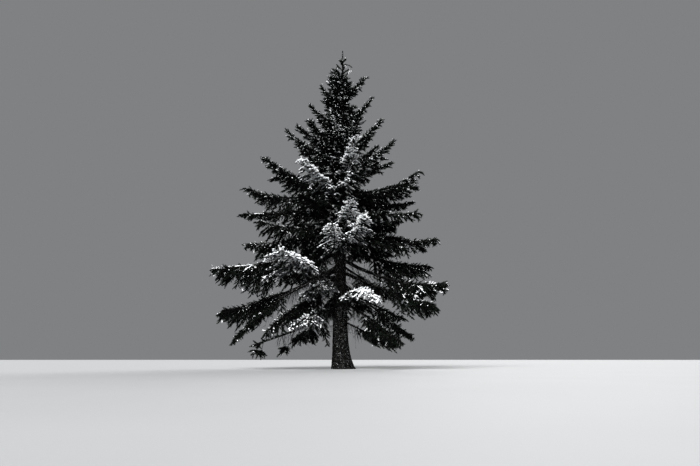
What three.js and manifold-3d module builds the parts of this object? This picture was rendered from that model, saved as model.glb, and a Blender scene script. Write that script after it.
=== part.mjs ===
// A Norway spruce that has grown in the open on a hilltop, 12 m tall, cut flat at ground level.
//
// Millimetres, +Z up. The origin is on the ground, at the middle of the trunk. The tree is seen from -Y, so +X is its
// right-hand side. A heading is an angle about +Z in degrees: 0 points along +X and 270 points at the viewer.
//
// The trunk stays whole to its tip. A low bough is a bare limb, and the mass of foliage on its end is a solid of its
// own. A high bough is foliage all the way, so its mass starts at the trunk and takes two side boughs with it.
import * as THREE from "three";
import { mergeVertices } from "three/addons/utils/BufferGeometryUtils.js";
import Module from "manifold-3d";

// The trunk
const TREE_HEIGHT = 12000;
const BASE_RADIUS = 276;
const TAPER_POWER = 1.05;
const LEADER_RADIUS = 7;
const FLARE = { reach: 42, height: 350 };
const ROOT_LOBES = [
  { heading: 4, reach: 170, width: 30 },
  { heading: 78, reach: 60, width: 26 },
  { heading: 140, reach: 45, width: 24 },
  { heading: 205, reach: 30, width: 26 },
  { heading: 262, reach: 75, width: 28 },
  { heading: 322, reach: 55, width: 22 },
];
const LOBE_HEIGHT = 330;
const SWAY = 72;
const TRUNK_SIDES = 16;
const TRUNK_RINGS = 13;

// Gaps between neighbours
const SEAT_GAP = 0.35;
const CLEARANCE = 5;
const WELD = 0.05;
const GROUND_CLEARANCE = 60;

// Limbs: the radius at the trunk grows with the reach, and the tip is a shoot
const LIMB_ROOT = { base: 9, perReach: 0.0112 };
const LIMB_TIP_RADIUS = 5;
const LIMB_SIDES = 6;
const LIMB_STEPS = 3;
const STEM_SIDES = 3;
const STEM_STEPS = 3;
const STEM_END = 0.95;

// Foliage: the stem between two sprays, the spread to the sides, the angles, and the toothed spray itself
const LOW_SPRAY_EVERY = 340;
const HIGH_SPRAY_EVERY = 620;
const SPREAD = { least: 260, share: 0.27, most: 1250 };
const SIDE_ANGLE = { inner: 66, outer: 36 };
const DIP_ANGLE = { inner: 46, outer: 8 };
const TWIG_FROM_LENGTH = 1050;
const TWIG_RADIUS = 18;
const TWIG_SPRAYS = [
  { from: 0.3, turn: 0, size: 0.7 },
  { from: 0.12, turn: 44, size: 0.5 },
];
const TRIES = [1, 0.75, 0.52];
const TEETH = [
  [0.3, 1],
  [0.42, 0.6],
  [0.68, 0.86],
];
const SPRAY = { width: 0.7, room: 0.72, thickness: 0.06, hang: 0.42, ridge: 0.8, sunk: 0.1 };
const TIP_SPRAY = { share: 0.32, most: 800 };
const FORK = { turns: [54, -54, 118, -118], shifts: [0, 10, -10], reach: 0.78, start: 60 };

// Low boughs with a bare limb: heading, foot height on the trunk, reach, height at half the reach, tip height, and the
// share of the reach that is bare.
const LOW_BOUGHS = {
  right_a: { heading: 20, foot: 4150, reach: 3400, waist: 3720, tip: 3650, bare: 0.34 },
  right_b: { heading: 345, foot: 3700, reach: 3550, waist: 2870, tip: 2660, bare: 0.44 },
  right_c: { heading: 333, foot: 3250, reach: 3300, waist: 2500, tip: 1900, bare: 0.56 },
  right_d: { heading: 8, foot: 2900, reach: 2450, waist: 1940, tip: 1020, bare: 0.5 },
  right_e: { heading: 317, foot: 2250, reach: 2450, waist: 1600, tip: 820, bare: 0.44 },
  left_a: { heading: 185, foot: 3900, reach: 4400, waist: 3500, tip: 3240, bare: 0.4 },
  left_b: { heading: 173, foot: 3450, reach: 4250, waist: 2450, tip: 1930, bare: 0.54 },
  left_c: { heading: 195, foot: 3050, reach: 3550, waist: 2400, tip: 820, bare: 0.56 },
  left_d: { heading: 212, foot: 2600, reach: 2750, waist: 2100, tip: 1020, bare: 0.24 },
  left_e: { heading: 204, foot: 1900, reach: 2900, waist: 1250, tip: 720, bare: 0.62 },
  front_a: { heading: 236, foot: 2800, reach: 3200, waist: 3150, tip: 3400, bare: 0.44 },
};

// High and inner boughs, whose foliage starts at the trunk: the same, the side boughs, and the share without sprays
const LEAFY_BOUGHS = {
  low_right: { heading: 354, foot: 1600, reach: 1800, waist: 1150, tip: 760, forks: 0, bare: 0.3 },
  low_front: { heading: 300, foot: 1950, reach: 2300, waist: 2430, tip: 1950, forks: 0, bare: 0.2 },
  low_far_right: { heading: 42, foot: 2750, reach: 3150, waist: 2200, tip: 1800, forks: 0, bare: 0.5 },
  low_back: { heading: 124, foot: 2150, reach: 3100, waist: 1600, tip: 1150, forks: 0, bare: 0.34 },
  low_far: { heading: 72, foot: 2750, reach: 2850, waist: 2450, tip: 2350, forks: 0, bare: 0.34 },
  low_left: { heading: 232, foot: 2050, reach: 2350, waist: 1720, tip: 1250, forks: 0, bare: 0.3 },
  back_left: { heading: 154, foot: 3300, reach: 3300, waist: 2800, tip: 2480, forks: 0, bare: 0.68 },
  back_far: { heading: 98, foot: 3000, reach: 3400, waist: 2550, tip: 2350, forks: 0, bare: 0.34 },
  inner_front: { heading: 264, foot: 3750, reach: 2450, waist: 4020, tip: 4220, forks: 0, bare: 0.25 },
  inner_right: { heading: 289, foot: 4100, reach: 2400, waist: 4250, tip: 4550, forks: 0, bare: 0.2 },
  inner_back: { heading: 138, foot: 4000, reach: 3500, waist: 3600, tip: 3500, forks: 1, bare: 0.2 },
  inner_far: { heading: 62, foot: 4600, reach: 3050, waist: 4450, tip: 4500, forks: 1, bare: 0.2 },
  middle_a: { heading: 0, foot: 4750, reach: 3400, waist: 4340, tip: 4380, forks: 1, bare: 0.12 },
  middle_b: { heading: 344, foot: 5600, reach: 2750, waist: 5200, tip: 5090, forks: 1, bare: 0.1 },
  middle_c: { heading: 6, foot: 6250, reach: 2920, waist: 6270, tip: 7110, forks: 1, bare: 0.08 },
  middle_d: { heading: 164, foot: 5050, reach: 3680, waist: 4500, tip: 4460, forks: 1, bare: 0.12 },
  middle_e: { heading: 193, foot: 5800, reach: 3450, waist: 5280, tip: 5040, forks: 1, bare: 0.1 },
  middle_f: { heading: 170, foot: 6250, reach: 3610, waist: 6020, tip: 6500, forks: 1, bare: 0.1 },
  middle_g: { heading: 235, foot: 5650, reach: 2250, waist: 6150, tip: 6600, forks: 1, bare: 0.1 },
  middle_h: { heading: 280, foot: 4650, reach: 1950, waist: 4850, tip: 5150, forks: 2, bare: 0.1 },
  middle_i: { heading: 38, foot: 5150, reach: 3100, waist: 4850, tip: 4900, forks: 1, bare: 0.1 },
  middle_j: { heading: 84, foot: 5350, reach: 3050, waist: 5250, tip: 5550, forks: 2, bare: 0.1 },
  middle_k: { heading: 126, foot: 4750, reach: 3100, waist: 4450, tip: 4300, forks: 0, bare: 0.1 },
  upper_a: { heading: 186, foot: 6650, reach: 2850, waist: 6560, tip: 7380, forks: 1, bare: 0.08 },
  upper_b: { heading: 178, foot: 7250, reach: 2060, waist: 7750, tip: 8580, forks: 2, bare: 0.08 },
  upper_c: { heading: 350, foot: 6850, reach: 1900, waist: 7270, tip: 7930, forks: 1, bare: 0.08 },
  upper_d: { heading: 286, foot: 6600, reach: 1750, waist: 6950, tip: 7450, forks: 2, bare: 0.08 },
  upper_e: { heading: 126, foot: 6500, reach: 2650, waist: 6600, tip: 7250, forks: 2, bare: 0.08 },
  upper_f: { heading: 40, foot: 7150, reach: 1780, waist: 7700, tip: 8500, forks: 1, bare: 0.08 },
  top_a: { heading: 350, foot: 7700, reach: 1460, waist: 8150, tip: 8890, forks: 2, bare: 0.05 },
  top_b: { heading: 250, foot: 7950, reach: 950, waist: 8350, tip: 8900, forks: 2, bare: 0.05 },
  top_c: { heading: 110, foot: 8100, reach: 1450, waist: 8550, tip: 9150, forks: 2, bare: 0.05 },
  top_d: { heading: 190, foot: 8700, reach: 1220, waist: 8980, tip: 9480, forks: 2, bare: 0.05 },
  top_e: { heading: 5, foot: 8850, reach: 1120, waist: 9300, tip: 9980, forks: 1, bare: 0.05 },
  top_f: { heading: 185, foot: 9650, reach: 780, waist: 9920, tip: 10340, forks: 4, bare: 0.05 },
  top_g: { heading: 0, foot: 10050, reach: 870, waist: 10360, tip: 10840, forks: 1, bare: 0.05 },
  top_h: { heading: 180, foot: 10600, reach: 480, waist: 10720, tip: 10900, forks: 2, bare: 0.05 },
};

// Colours
const BARK_COLOUR = 0x2b2724;
const FOLIAGE_COLOUR = 0x161c17;

const wasm = await Module();
wasm.setup();

/** A stream of numbers from 0 to 1 that is the same for the same seed. */
function seededRandom(seed) {
  let state = seed >>> 0;
  return () => {
    state = (state + 0x6d2b79f5) >>> 0;
    let mixed = Math.imul(state ^ (state >>> 15), state | 1);
    mixed ^= mixed + Math.imul(mixed ^ (mixed >>> 7), mixed | 61);
    return ((mixed ^ (mixed >>> 14)) >>> 0) / 4294967296;
  };
}

/** The unit vector at a heading and an elevation, both in degrees. */
function direction(heading, elevation) {
  const turn = THREE.MathUtils.degToRad(heading);
  const rise = THREE.MathUtils.degToRad(elevation);
  return new THREE.Vector3(
    Math.cos(turn) * Math.cos(rise),
    Math.sin(turn) * Math.cos(rise),
    Math.sin(rise),
  );
}

/** A closed geometry as a manifold-3d solid. */
function solidOf(geometry) {
  geometry.deleteAttribute("normal");
  geometry.deleteAttribute("uv");
  const merged = mergeVertices(geometry, 0.01);
  return new wasm.Manifold(
    new wasm.Mesh({
      numProp: 3,
      vertProperties: new Float32Array(merged.attributes.position.array),
      triVerts: new Uint32Array(merged.index.array),
    }),
  );
}

/** A manifold-3d solid as a geometry with flat faces. */
function geometryOf(solid) {
  const mesh = solid.getMesh();
  const corners = new Float32Array(mesh.triVerts.length * 3);
  mesh.triVerts.forEach((vertex, corner) => {
    const start = vertex * mesh.numProp;
    corners.set(mesh.vertProperties.subarray(start, start + 3), corner * 3);
  });
  const geometry = new THREE.BufferGeometry();
  geometry.setAttribute("position", new THREE.BufferAttribute(corners, 3));
  geometry.computeVertexNormals();
  return geometry;
}

/** The middle of the trunk at a height: it sways a little to the left low down. */
function trunkCentre(height) {
  const share = height / TREE_HEIGHT;
  const offset = -SWAY * Math.sin(2 * Math.PI * share) * (1 - share);
  return new THREE.Vector3(offset, 0, height);
}

/** The trunk's radius at a height and heading, with the flare and root lobes near the ground. */
function trunkRadius(height, heading) {
  const taper = BASE_RADIUS * (1 - height / TREE_HEIGHT) ** TAPER_POWER;
  const flare = FLARE.reach * Math.exp(-height / FLARE.height);
  let lobes = 0;
  for (const lobe of ROOT_LOBES) {
    const apart = Math.abs(((heading - lobe.heading + 540) % 360) - 180);
    lobes += lobe.reach * Math.exp(-((apart / lobe.width) ** 2));
  }
  return LEADER_RADIUS + taper + flare + lobes * Math.exp(-height / LOBE_HEIGHT);
}

/** The trunk, or one that is bigger all round by grow, as a solid. */
function trunkSolid(grow = 0) {
  const geometry = new THREE.CylinderGeometry(1, 1, 1, TRUNK_SIDES, TRUNK_RINGS);
  const points = geometry.attributes.position;
  for (let i = 0; i < points.count; i++) {
    const along = points.getY(i) + 0.5;
    const height = TREE_HEIGHT * along ** 1.6;
    const outward = Math.hypot(points.getX(i), points.getZ(i));
    const turn = Math.atan2(points.getX(i), points.getZ(i));
    const radius = (trunkRadius(height, THREE.MathUtils.radToDeg(turn)) + grow) * outward;
    const centre = trunkCentre(height);
    const lift = grow * (2 * along - 1);
    points.setXYZ(
      i,
      centre.x + radius * Math.cos(turn),
      centre.y + radius * Math.sin(turn),
      height + lift,
    );
  }
  return solidOf(geometry);
}

/** A curve from start to end that is at the waist's height half-way. */
function archedLine(start, end, waist) {
  const middle = start.clone().lerp(end, 0.5);
  middle.z = 2 * waist - middle.z;
  return new THREE.QuadraticBezierCurve3(start, middle, end);
}

/** The line of a bough, from the trunk's middle to its tip. */
function boughLine({ heading, foot, reach, waist, tip }) {
  const end = direction(heading, 0).multiplyScalar(reach);
  end.z = tip;
  return archedLine(trunkCentre(foot), end, waist);
}

/** The line of a side bough, from a joint on the bough that carries it. */
function forkLine({ heading, foot, waist, tip }, joint, turn, reach) {
  const end = direction(heading + turn, 0).multiplyScalar(reach).add(joint);
  end.z += (tip - foot) * FORK.reach;
  return archedLine(joint, end, joint.z + (waist - foot) * FORK.reach);
}

/** The radius of a bough of this reach at t, from 0 at the trunk to 1 at the tip. */
function limbRadius(reach, t) {
  const root = LIMB_ROOT.base + LIMB_ROOT.perReach * reach;
  return THREE.MathUtils.lerp(root, LIMB_TIP_RADIUS, t);
}

/** A tapering rod along a stretch of a line. */
function rod(line, from, to, startRadius, endRadius, sides, steps) {
  const geometry = new THREE.CylinderGeometry(endRadius, startRadius, 1, sides, steps);
  const points = geometry.attributes.position;
  for (let i = 0; i < points.count; i++) {
    const t = THREE.MathUtils.lerp(from, to, points.getY(i) + 0.5);
    const along = line.getTangent(t);
    const level = new THREE.Vector3(along.y, -along.x, 0).normalize();
    const above = new THREE.Vector3().crossVectors(level, along);
    const place = line
      .getPoint(t)
      .addScaledVector(level, points.getX(i))
      .addScaledVector(above, points.getZ(i));
    points.setXYZ(i, place.x, place.y, place.z);
  }
  return solidOf(geometry);
}

/** A spray of needles: a toothed blade, ridged along its middle, with its sides hanging. */
function spray(root, heading, elevation, length, width, roll) {
  const half = width / 2;
  const left = TEETH.map(([along, across]) => [along * length, across * half]);
  const right = left.map(([along, across]) => [along, -across]).reverse();
  const outline = [[0, 0], ...left, [length, 0], ...right];
  const middle = SPRAY.ridge * TEETH[0][0] * length;
  const depth = (SPRAY.thickness * length) / 2;
  const positions = [
    ...outline.flatMap(([along, across]) => [along, across, -SPRAY.hang * Math.abs(across)]),
    ...[middle, 0, depth],
    ...[middle, 0, -depth],
  ];
  const ridge = outline.length;
  const keel = ridge + 1;
  const faces = outline.flatMap((_, i) => {
    const next = (i + 1) % outline.length;
    return [next, i, ridge, i, next, keel];
  });
  const geometry = new THREE.BufferGeometry();
  geometry.setAttribute("position", new THREE.Float32BufferAttribute(positions, 3));
  geometry.setIndex(faces);
  const forward = direction(heading, elevation);
  const across = new THREE.Vector3(-forward.y, forward.x, 0).normalize();
  across.applyAxisAngle(forward, THREE.MathUtils.degToRad(roll));
  const up = new THREE.Vector3().crossVectors(forward, across);
  geometry.applyMatrix4(new THREE.Matrix4().makeBasis(forward, across, up).setPosition(root));
  return solidOf(geometry);
}

/** How far the foliage spreads to the side of a bough at s, from 0 where it starts to 1 at the tip. */
function spreadAt(reach, s) {
  const most = Math.min(SPREAD.least + SPREAD.share * reach, SPREAD.most);
  return most * Math.min(1, 0.55 + 2.4 * s) * (1 - 0.62 * s);
}

// Everything placed so far, with its bounding box
const placed = [];

/** Whether a solid keeps clear of the ground and of everything placed, apart from the wood that carries it. */
function isClear(solid, ...carriers) {
  const box = solid.boundingBox();
  if (box.min[2] < GROUND_CLEARANCE) return false;
  return placed.every((other) => {
    if (carriers.includes(other.solid)) return true;
    const apart = [0, 1, 2].some(
      (axis) =>
        box.min[axis] > other.box.max[axis] + CLEARANCE ||
        box.max[axis] < other.box.min[axis] - CLEARANCE,
    );
    return apart || solid.minGap(other.solid, CLEARANCE) >= CLEARANCE;
  });
}

/** Notes a solid as placed, so that later ones keep clear of it. */
function place(solid) {
  placed.push({ solid, box: solid.boundingBox() });
  return solid;
}

/** The stem of a bough outside the trunk, unless it would touch anything but the wood that carries it. */
function placeStem({ line, from, reach }, carriers) {
  const radii = [limbRadius(reach, from), limbRadius(reach, STEM_END)];
  const stem = rod(line, from, STEM_END, ...radii, STEM_SIDES, STEM_STEPS).subtract(grownTrunk);
  const fits = !carriers || isClear(stem, trunk, ...carriers);
  return fits ? place(stem) : null;
}

/** The point at t on the straight stretches of a bough's stem. */
function onStem({ line, from }, t) {
  const step = (STEM_END - from) / STEM_STEPS;
  const start = from + step * Math.min(STEM_STEPS - 1, Math.floor((t - from) / step));
  return line.getPoint(start).lerp(line.getPoint(start + step), (t - start) / step);
}

/** Grows the sprays of one bough: one at its tip, and along both sides single ones or twigs with two. */
function growSprays({ line, from, bare, reach, every, stem }, random) {
  const grown = [];
  const count = Math.max(2, Math.round((line.getLength() * (1 - bare)) / every));
  const tryToAdd = (makeSolid, carrier) => {
    for (const scale of TRIES) {
      const solid = makeSolid(scale);
      if (!isClear(solid, carrier)) continue;
      grown.push(place(solid));
      return solid;
    }
    return null;
  };
  const headingAt = (t) => {
    const along = line.getTangent(t);
    return THREE.MathUtils.radToDeg(Math.atan2(along.y, along.x));
  };
  const elevationAt = (t) => THREE.MathUtils.radToDeg(Math.asin(line.getTangent(t).z));
  const room = (SPRAY.room * line.getLength() * (1 - bare) * 2) / count;
  const blade = (root, heading, elevation, length, roll) => {
    const width = Math.min(SPRAY.width * length, room);
    return spray(root, heading, elevation, length, width, roll);
  };

  const tipLength = Math.min(TIP_SPRAY.share * reach, TIP_SPRAY.most);
  const tipRoot = onStem({ line, from }, 1 - tipLength / line.getLength());
  tryToAdd(() => blade(tipRoot, headingAt(1), elevationAt(1), tipLength, 0), stem);
  for (let i = 0; i < count; i++) {
    const s = (i + 0.35 + 0.3 * random()) / count;
    const t = THREE.MathUtils.lerp(bare, 0.95, s);
    const side = i % 2 === 0 ? 1 : -1;
    const sideAngle = THREE.MathUtils.lerp(SIDE_ANGLE.inner, SIDE_ANGLE.outer, s);
    const heading = headingAt(t) + side * sideAngle + 8 * (random() - 0.5);
    const dip = THREE.MathUtils.lerp(DIP_ANGLE.inner, DIP_ANGLE.outer, s);
    const elevation = elevationAt(t) * s - dip + 12 * (random() - 0.5);
    const length = spreadAt(reach, s) * (0.85 + 0.3 * random());
    const along = direction(heading, elevation);
    const root = onStem({ line, from }, t);
    root.addScaledVector(along, -SPRAY.sunk * limbRadius(reach, t));
    const roll = -12 * side;
    if (length < TWIG_FROM_LENGTH) {
      tryToAdd((scale) => blade(root, heading, elevation, scale * length, roll), stem);
      continue;
    }
    const end = root.clone().addScaledVector(along, 0.5 * length);
    const twigLine = new THREE.LineCurve3(root, end);
    const twig = tryToAdd(() => rod(twigLine, 0, 1, TWIG_RADIUS, TWIG_RADIUS / 2, 3, 1), stem);
    if (!twig) continue;
    for (const { from: share, turn, size } of TWIG_SPRAYS) {
      const joint = root.clone().addScaledVector(along, share * length);
      const bladeHeading = heading + side * turn;
      tryToAdd((scale) => blade(joint, bladeHeading, elevation, scale * size * length, roll), twig);
    }
  }
  return grown;
}

/** Joins the pieces of a mass, and drops any scrap that has come loose from its stem. */
function fuse(pieces) {
  const bodies = wasm.Manifold.union(pieces).asOriginal().simplify(WELD).decompose();
  return bodies.reduce((largest, body) => (body.volume() > largest.volume() ? body : largest));
}

const trunk = place(trunkSolid());
const grownTrunk = trunkSolid(SEAT_GAP);
const solids = { trunk };
const masses = [];

for (const [name, bough] of Object.entries(LOW_BOUGHS)) {
  const { reach, bare } = bough;
  const line = boughLine(bough);
  const radii = [limbRadius(reach, 0), limbRadius(reach, bare)];
  const limb = rod(line, 0, bare, ...radii, LIMB_SIDES, LIMB_STEPS).subtract(grownTrunk);
  solids[`bough_${name}`] = place(limb);
  const from = bare + SEAT_GAP / line.getLength();
  const axis = { line, from, bare: from, reach, every: LOW_SPRAY_EVERY };
  axis.stem = placeStem(axis);
  masses.push({ node: `foliage_${name}`, axes: [axis] });
}

for (const [name, bough] of Object.entries(LEAFY_BOUGHS)) {
  const { reach, bare } = bough;
  const line = boughLine(bough);
  const main = { line, from: 0, bare, reach, every: HIGH_SPRAY_EVERY };
  main.stem = placeStem(main);
  masses.push({ node: `crown_${name}`, bough, axes: [main] });
}

// Side boughs come before the sprays, so that no spray grows over them
for (const { bough, axes } of masses) {
  if (!bough) continue;
  const { heading, foot, reach, forks } = bough;
  const [main] = axes;
  const random = seededRandom(foot);
  const joint = onStem(main, (trunkRadius(foot, heading) + FORK.start) / reach);
  for (const turn of FORK.turns.slice(0, forks)) {
    const forkReach = reach * FORK.reach * (0.9 + 0.2 * random());
    for (const shift of FORK.shifts) {
      const line = forkLine(bough, joint, turn + shift, forkReach);
      const axis = { ...main, line, reach: forkReach };
      axis.stem = placeStem(axis, axes.map((other) => other.stem));
      if (!axis.stem) continue;
      axes.push(axis);
      break;
    }
  }
}

masses.forEach(({ node, axes }, number) => {
  const random = seededRandom(1000 + number);
  const grown = axes.flatMap((axis) => growSprays(axis, random));
  solids[node] = fuse([...axes.map((axis) => axis.stem), ...grown]);
});

const tree = new THREE.Group();
const bark = new THREE.MeshStandardMaterial({
  color: BARK_COLOUR,
  roughness: 0.95,
  flatShading: true,
});
const needles = new THREE.MeshStandardMaterial({
  color: FOLIAGE_COLOUR,
  roughness: 0.8,
  flatShading: true,
});
for (const [name, solid] of Object.entries(solids)) {
  const isWood = name === "trunk" || name.startsWith("bough_");
  const mesh = new THREE.Mesh(geometryOf(solid), isWood ? bark : needles);
  mesh.name = name;
  tree.add(mesh);
}

export default tree;
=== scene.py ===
"""An open-grown Norway spruce, 12 m tall, with rime and snow on its windward boughs.

Metres, +Z up. The origin is on the ground, at the middle of the trunk. The tree is seen from -Y, so +X is
its right-hand side. A heading is an angle about +Z in degrees: 0 points along +X and 270 at the viewer.

The trunk, the boughs and the spread of their foliage follow the rule of the part's own solids. Twigs, shoots
and needles grow on from there. Each kind is joined into one piece for each region of the crown.
"""

import logging
import math
from collections.abc import Callable, Iterator
from dataclasses import dataclass, field, replace
from enum import Enum
from random import Random

import bmesh
import bpy
import numpy as np
from bmesh.types import BMesh
from bpy.types import ID, ColorRamp, Material, NodeSocket, Object
from mathutils import Matrix, Vector, noise


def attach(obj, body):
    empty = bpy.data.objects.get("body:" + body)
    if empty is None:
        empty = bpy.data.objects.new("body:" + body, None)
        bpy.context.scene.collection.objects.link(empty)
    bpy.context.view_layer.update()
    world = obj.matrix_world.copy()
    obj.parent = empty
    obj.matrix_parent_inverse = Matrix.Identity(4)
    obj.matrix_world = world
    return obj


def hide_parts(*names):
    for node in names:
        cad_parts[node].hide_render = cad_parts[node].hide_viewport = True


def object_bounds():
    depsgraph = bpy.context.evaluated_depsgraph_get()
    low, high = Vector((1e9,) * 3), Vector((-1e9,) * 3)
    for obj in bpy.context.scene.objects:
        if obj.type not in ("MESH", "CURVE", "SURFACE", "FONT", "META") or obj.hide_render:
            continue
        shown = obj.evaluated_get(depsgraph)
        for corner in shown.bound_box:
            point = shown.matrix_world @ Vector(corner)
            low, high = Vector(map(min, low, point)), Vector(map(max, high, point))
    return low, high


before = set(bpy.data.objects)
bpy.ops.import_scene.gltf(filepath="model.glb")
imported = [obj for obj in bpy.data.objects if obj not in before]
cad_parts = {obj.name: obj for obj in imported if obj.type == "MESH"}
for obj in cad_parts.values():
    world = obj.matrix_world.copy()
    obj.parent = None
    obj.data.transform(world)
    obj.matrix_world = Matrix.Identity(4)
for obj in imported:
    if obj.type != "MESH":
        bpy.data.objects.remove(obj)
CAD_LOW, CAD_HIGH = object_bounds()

log = logging.getLogger("spruce")

ROOT_BODY = "root"

# Twigs that leave a stem this many degrees apart never stand above each other
GOLDEN_TURN = 137.5

Colour = tuple[float, float, float]
# A least value and what may be added to it, or the values at a start and at an end
Span = tuple[float, float]
# A least value, what a draw may add to it, and the power that the draw is raised to
Skewed = tuple[float, float, float]


class Region(Enum):
    """A part of the crown whose twigs, needles and snow are joined together."""

    LEFT = "left"
    RIGHT = "right"
    INNER = "inner"
    MIDDLE = "middle"
    UPPER = "upper"

    @classmethod
    def of(cls, bough: str) -> "Region":
        """The region of a bough, from the first word of its name."""
        word = bough.split("_")[0]
        return cls({"front": "left", "low": "inner", "back": "inner", "top": "upper"}.get(word, word))


class Tone(Enum):
    """The colour of a spray of needles."""

    DARK = "dark"
    GREEN = "green"
    RIMED = "rimed"
    WHITE = "white"


class Slot(Enum):
    """The kinds of finish: bark, needles and snow."""

    BARK = "bark"
    NEEDLES = "needles"
    SNOW = "snow"


@dataclass(frozen=True)
class Bough:
    """One bough, as the source gives it, and what weather has left on it.

    Args:
        heading: Where it points.
        foot: Its height on the trunk.
        reach: How far its tip is from the trunk's middle.
        waist: Its height at half the reach.
        tip: The height of its tip.
        bare: The share of the reach that carries no living twigs.
        forks: How many side boughs leave it near the trunk.
        rime: The share of its shoots that are grey or white with rime.
        snow: The share of its twigs that carry snow.
        hoar: How much of what hangs from its rimed twigs is grey too.
        hang: How far its twigs hang, against the others of its region.
        full: How wide its foliage is, against the source's spread.
        gap: The stretch of its foliage that is missing, as two shares.
    """

    heading: float
    foot: float
    reach: float
    waist: float
    tip: float
    bare: float
    forks: int = 0
    rime: float = 0.08
    snow: float = 0.1
    hoar: float = 0.24
    hang: float = 1.0
    full: float = 1.0
    gap: Span = (2.0, 2.0)


# Low boughs, each a bare limb with a mass of foliage on its end
LOW_BOUGHS = {
    "right_a": Bough(20, 4.15, 3.4, 3.72, 3.65, 0.34, rime=0.1, snow=0.02),
    "right_b": Bough(345, 3.7, 3.55, 2.87, 2.66, 0.44, rime=0.24, snow=0.35, hang=0.85),
    "right_c": Bough(333, 3.25, 3.3, 2.5, 1.9, 0.56, rime=0.1, snow=0.12, full=0.85),
    "right_d": Bough(8, 2.9, 2.45, 1.94, 1.02, 0.5, rime=0.02, snow=0.02, full=0.75),
    "right_e": Bough(317, 2.25, 2.45, 1.6, 0.82, 0.44, rime=0.02, snow=0.02),
    "left_a": Bough(185, 3.9, 4.4, 3.5, 3.24, 0.4, rime=0.24, snow=0.4, hang=1.15, full=1.1, gap=(0, 0.1)),
    "left_b": Bough(173, 3.45, 4.25, 2.45, 1.93, 0.54, rime=0.12, snow=0.2),
    "left_c": Bough(195, 3.05, 3.55, 2.4, 0.82, 0.56, rime=0.05, snow=0, hang=0.7, full=0.6),
    "left_d": Bough(212, 2.6, 2.75, 2.1, 1.02, 0.24, rime=0.2, snow=0),
    "left_e": Bough(204, 1.9, 2.9, 1.25, 0.72, 0.62, rime=0.01, snow=0.02, hang=0.4, full=0.4, gap=(0, 0.8)),
    "front_a": Bough(
        236, 2.8, 3.2, 3.15, 3.4, 0.44, rime=0.98, snow=0.8, hoar=0.95, hang=0.6, full=1.2, gap=(0, 0.2)
    ),
}

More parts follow.
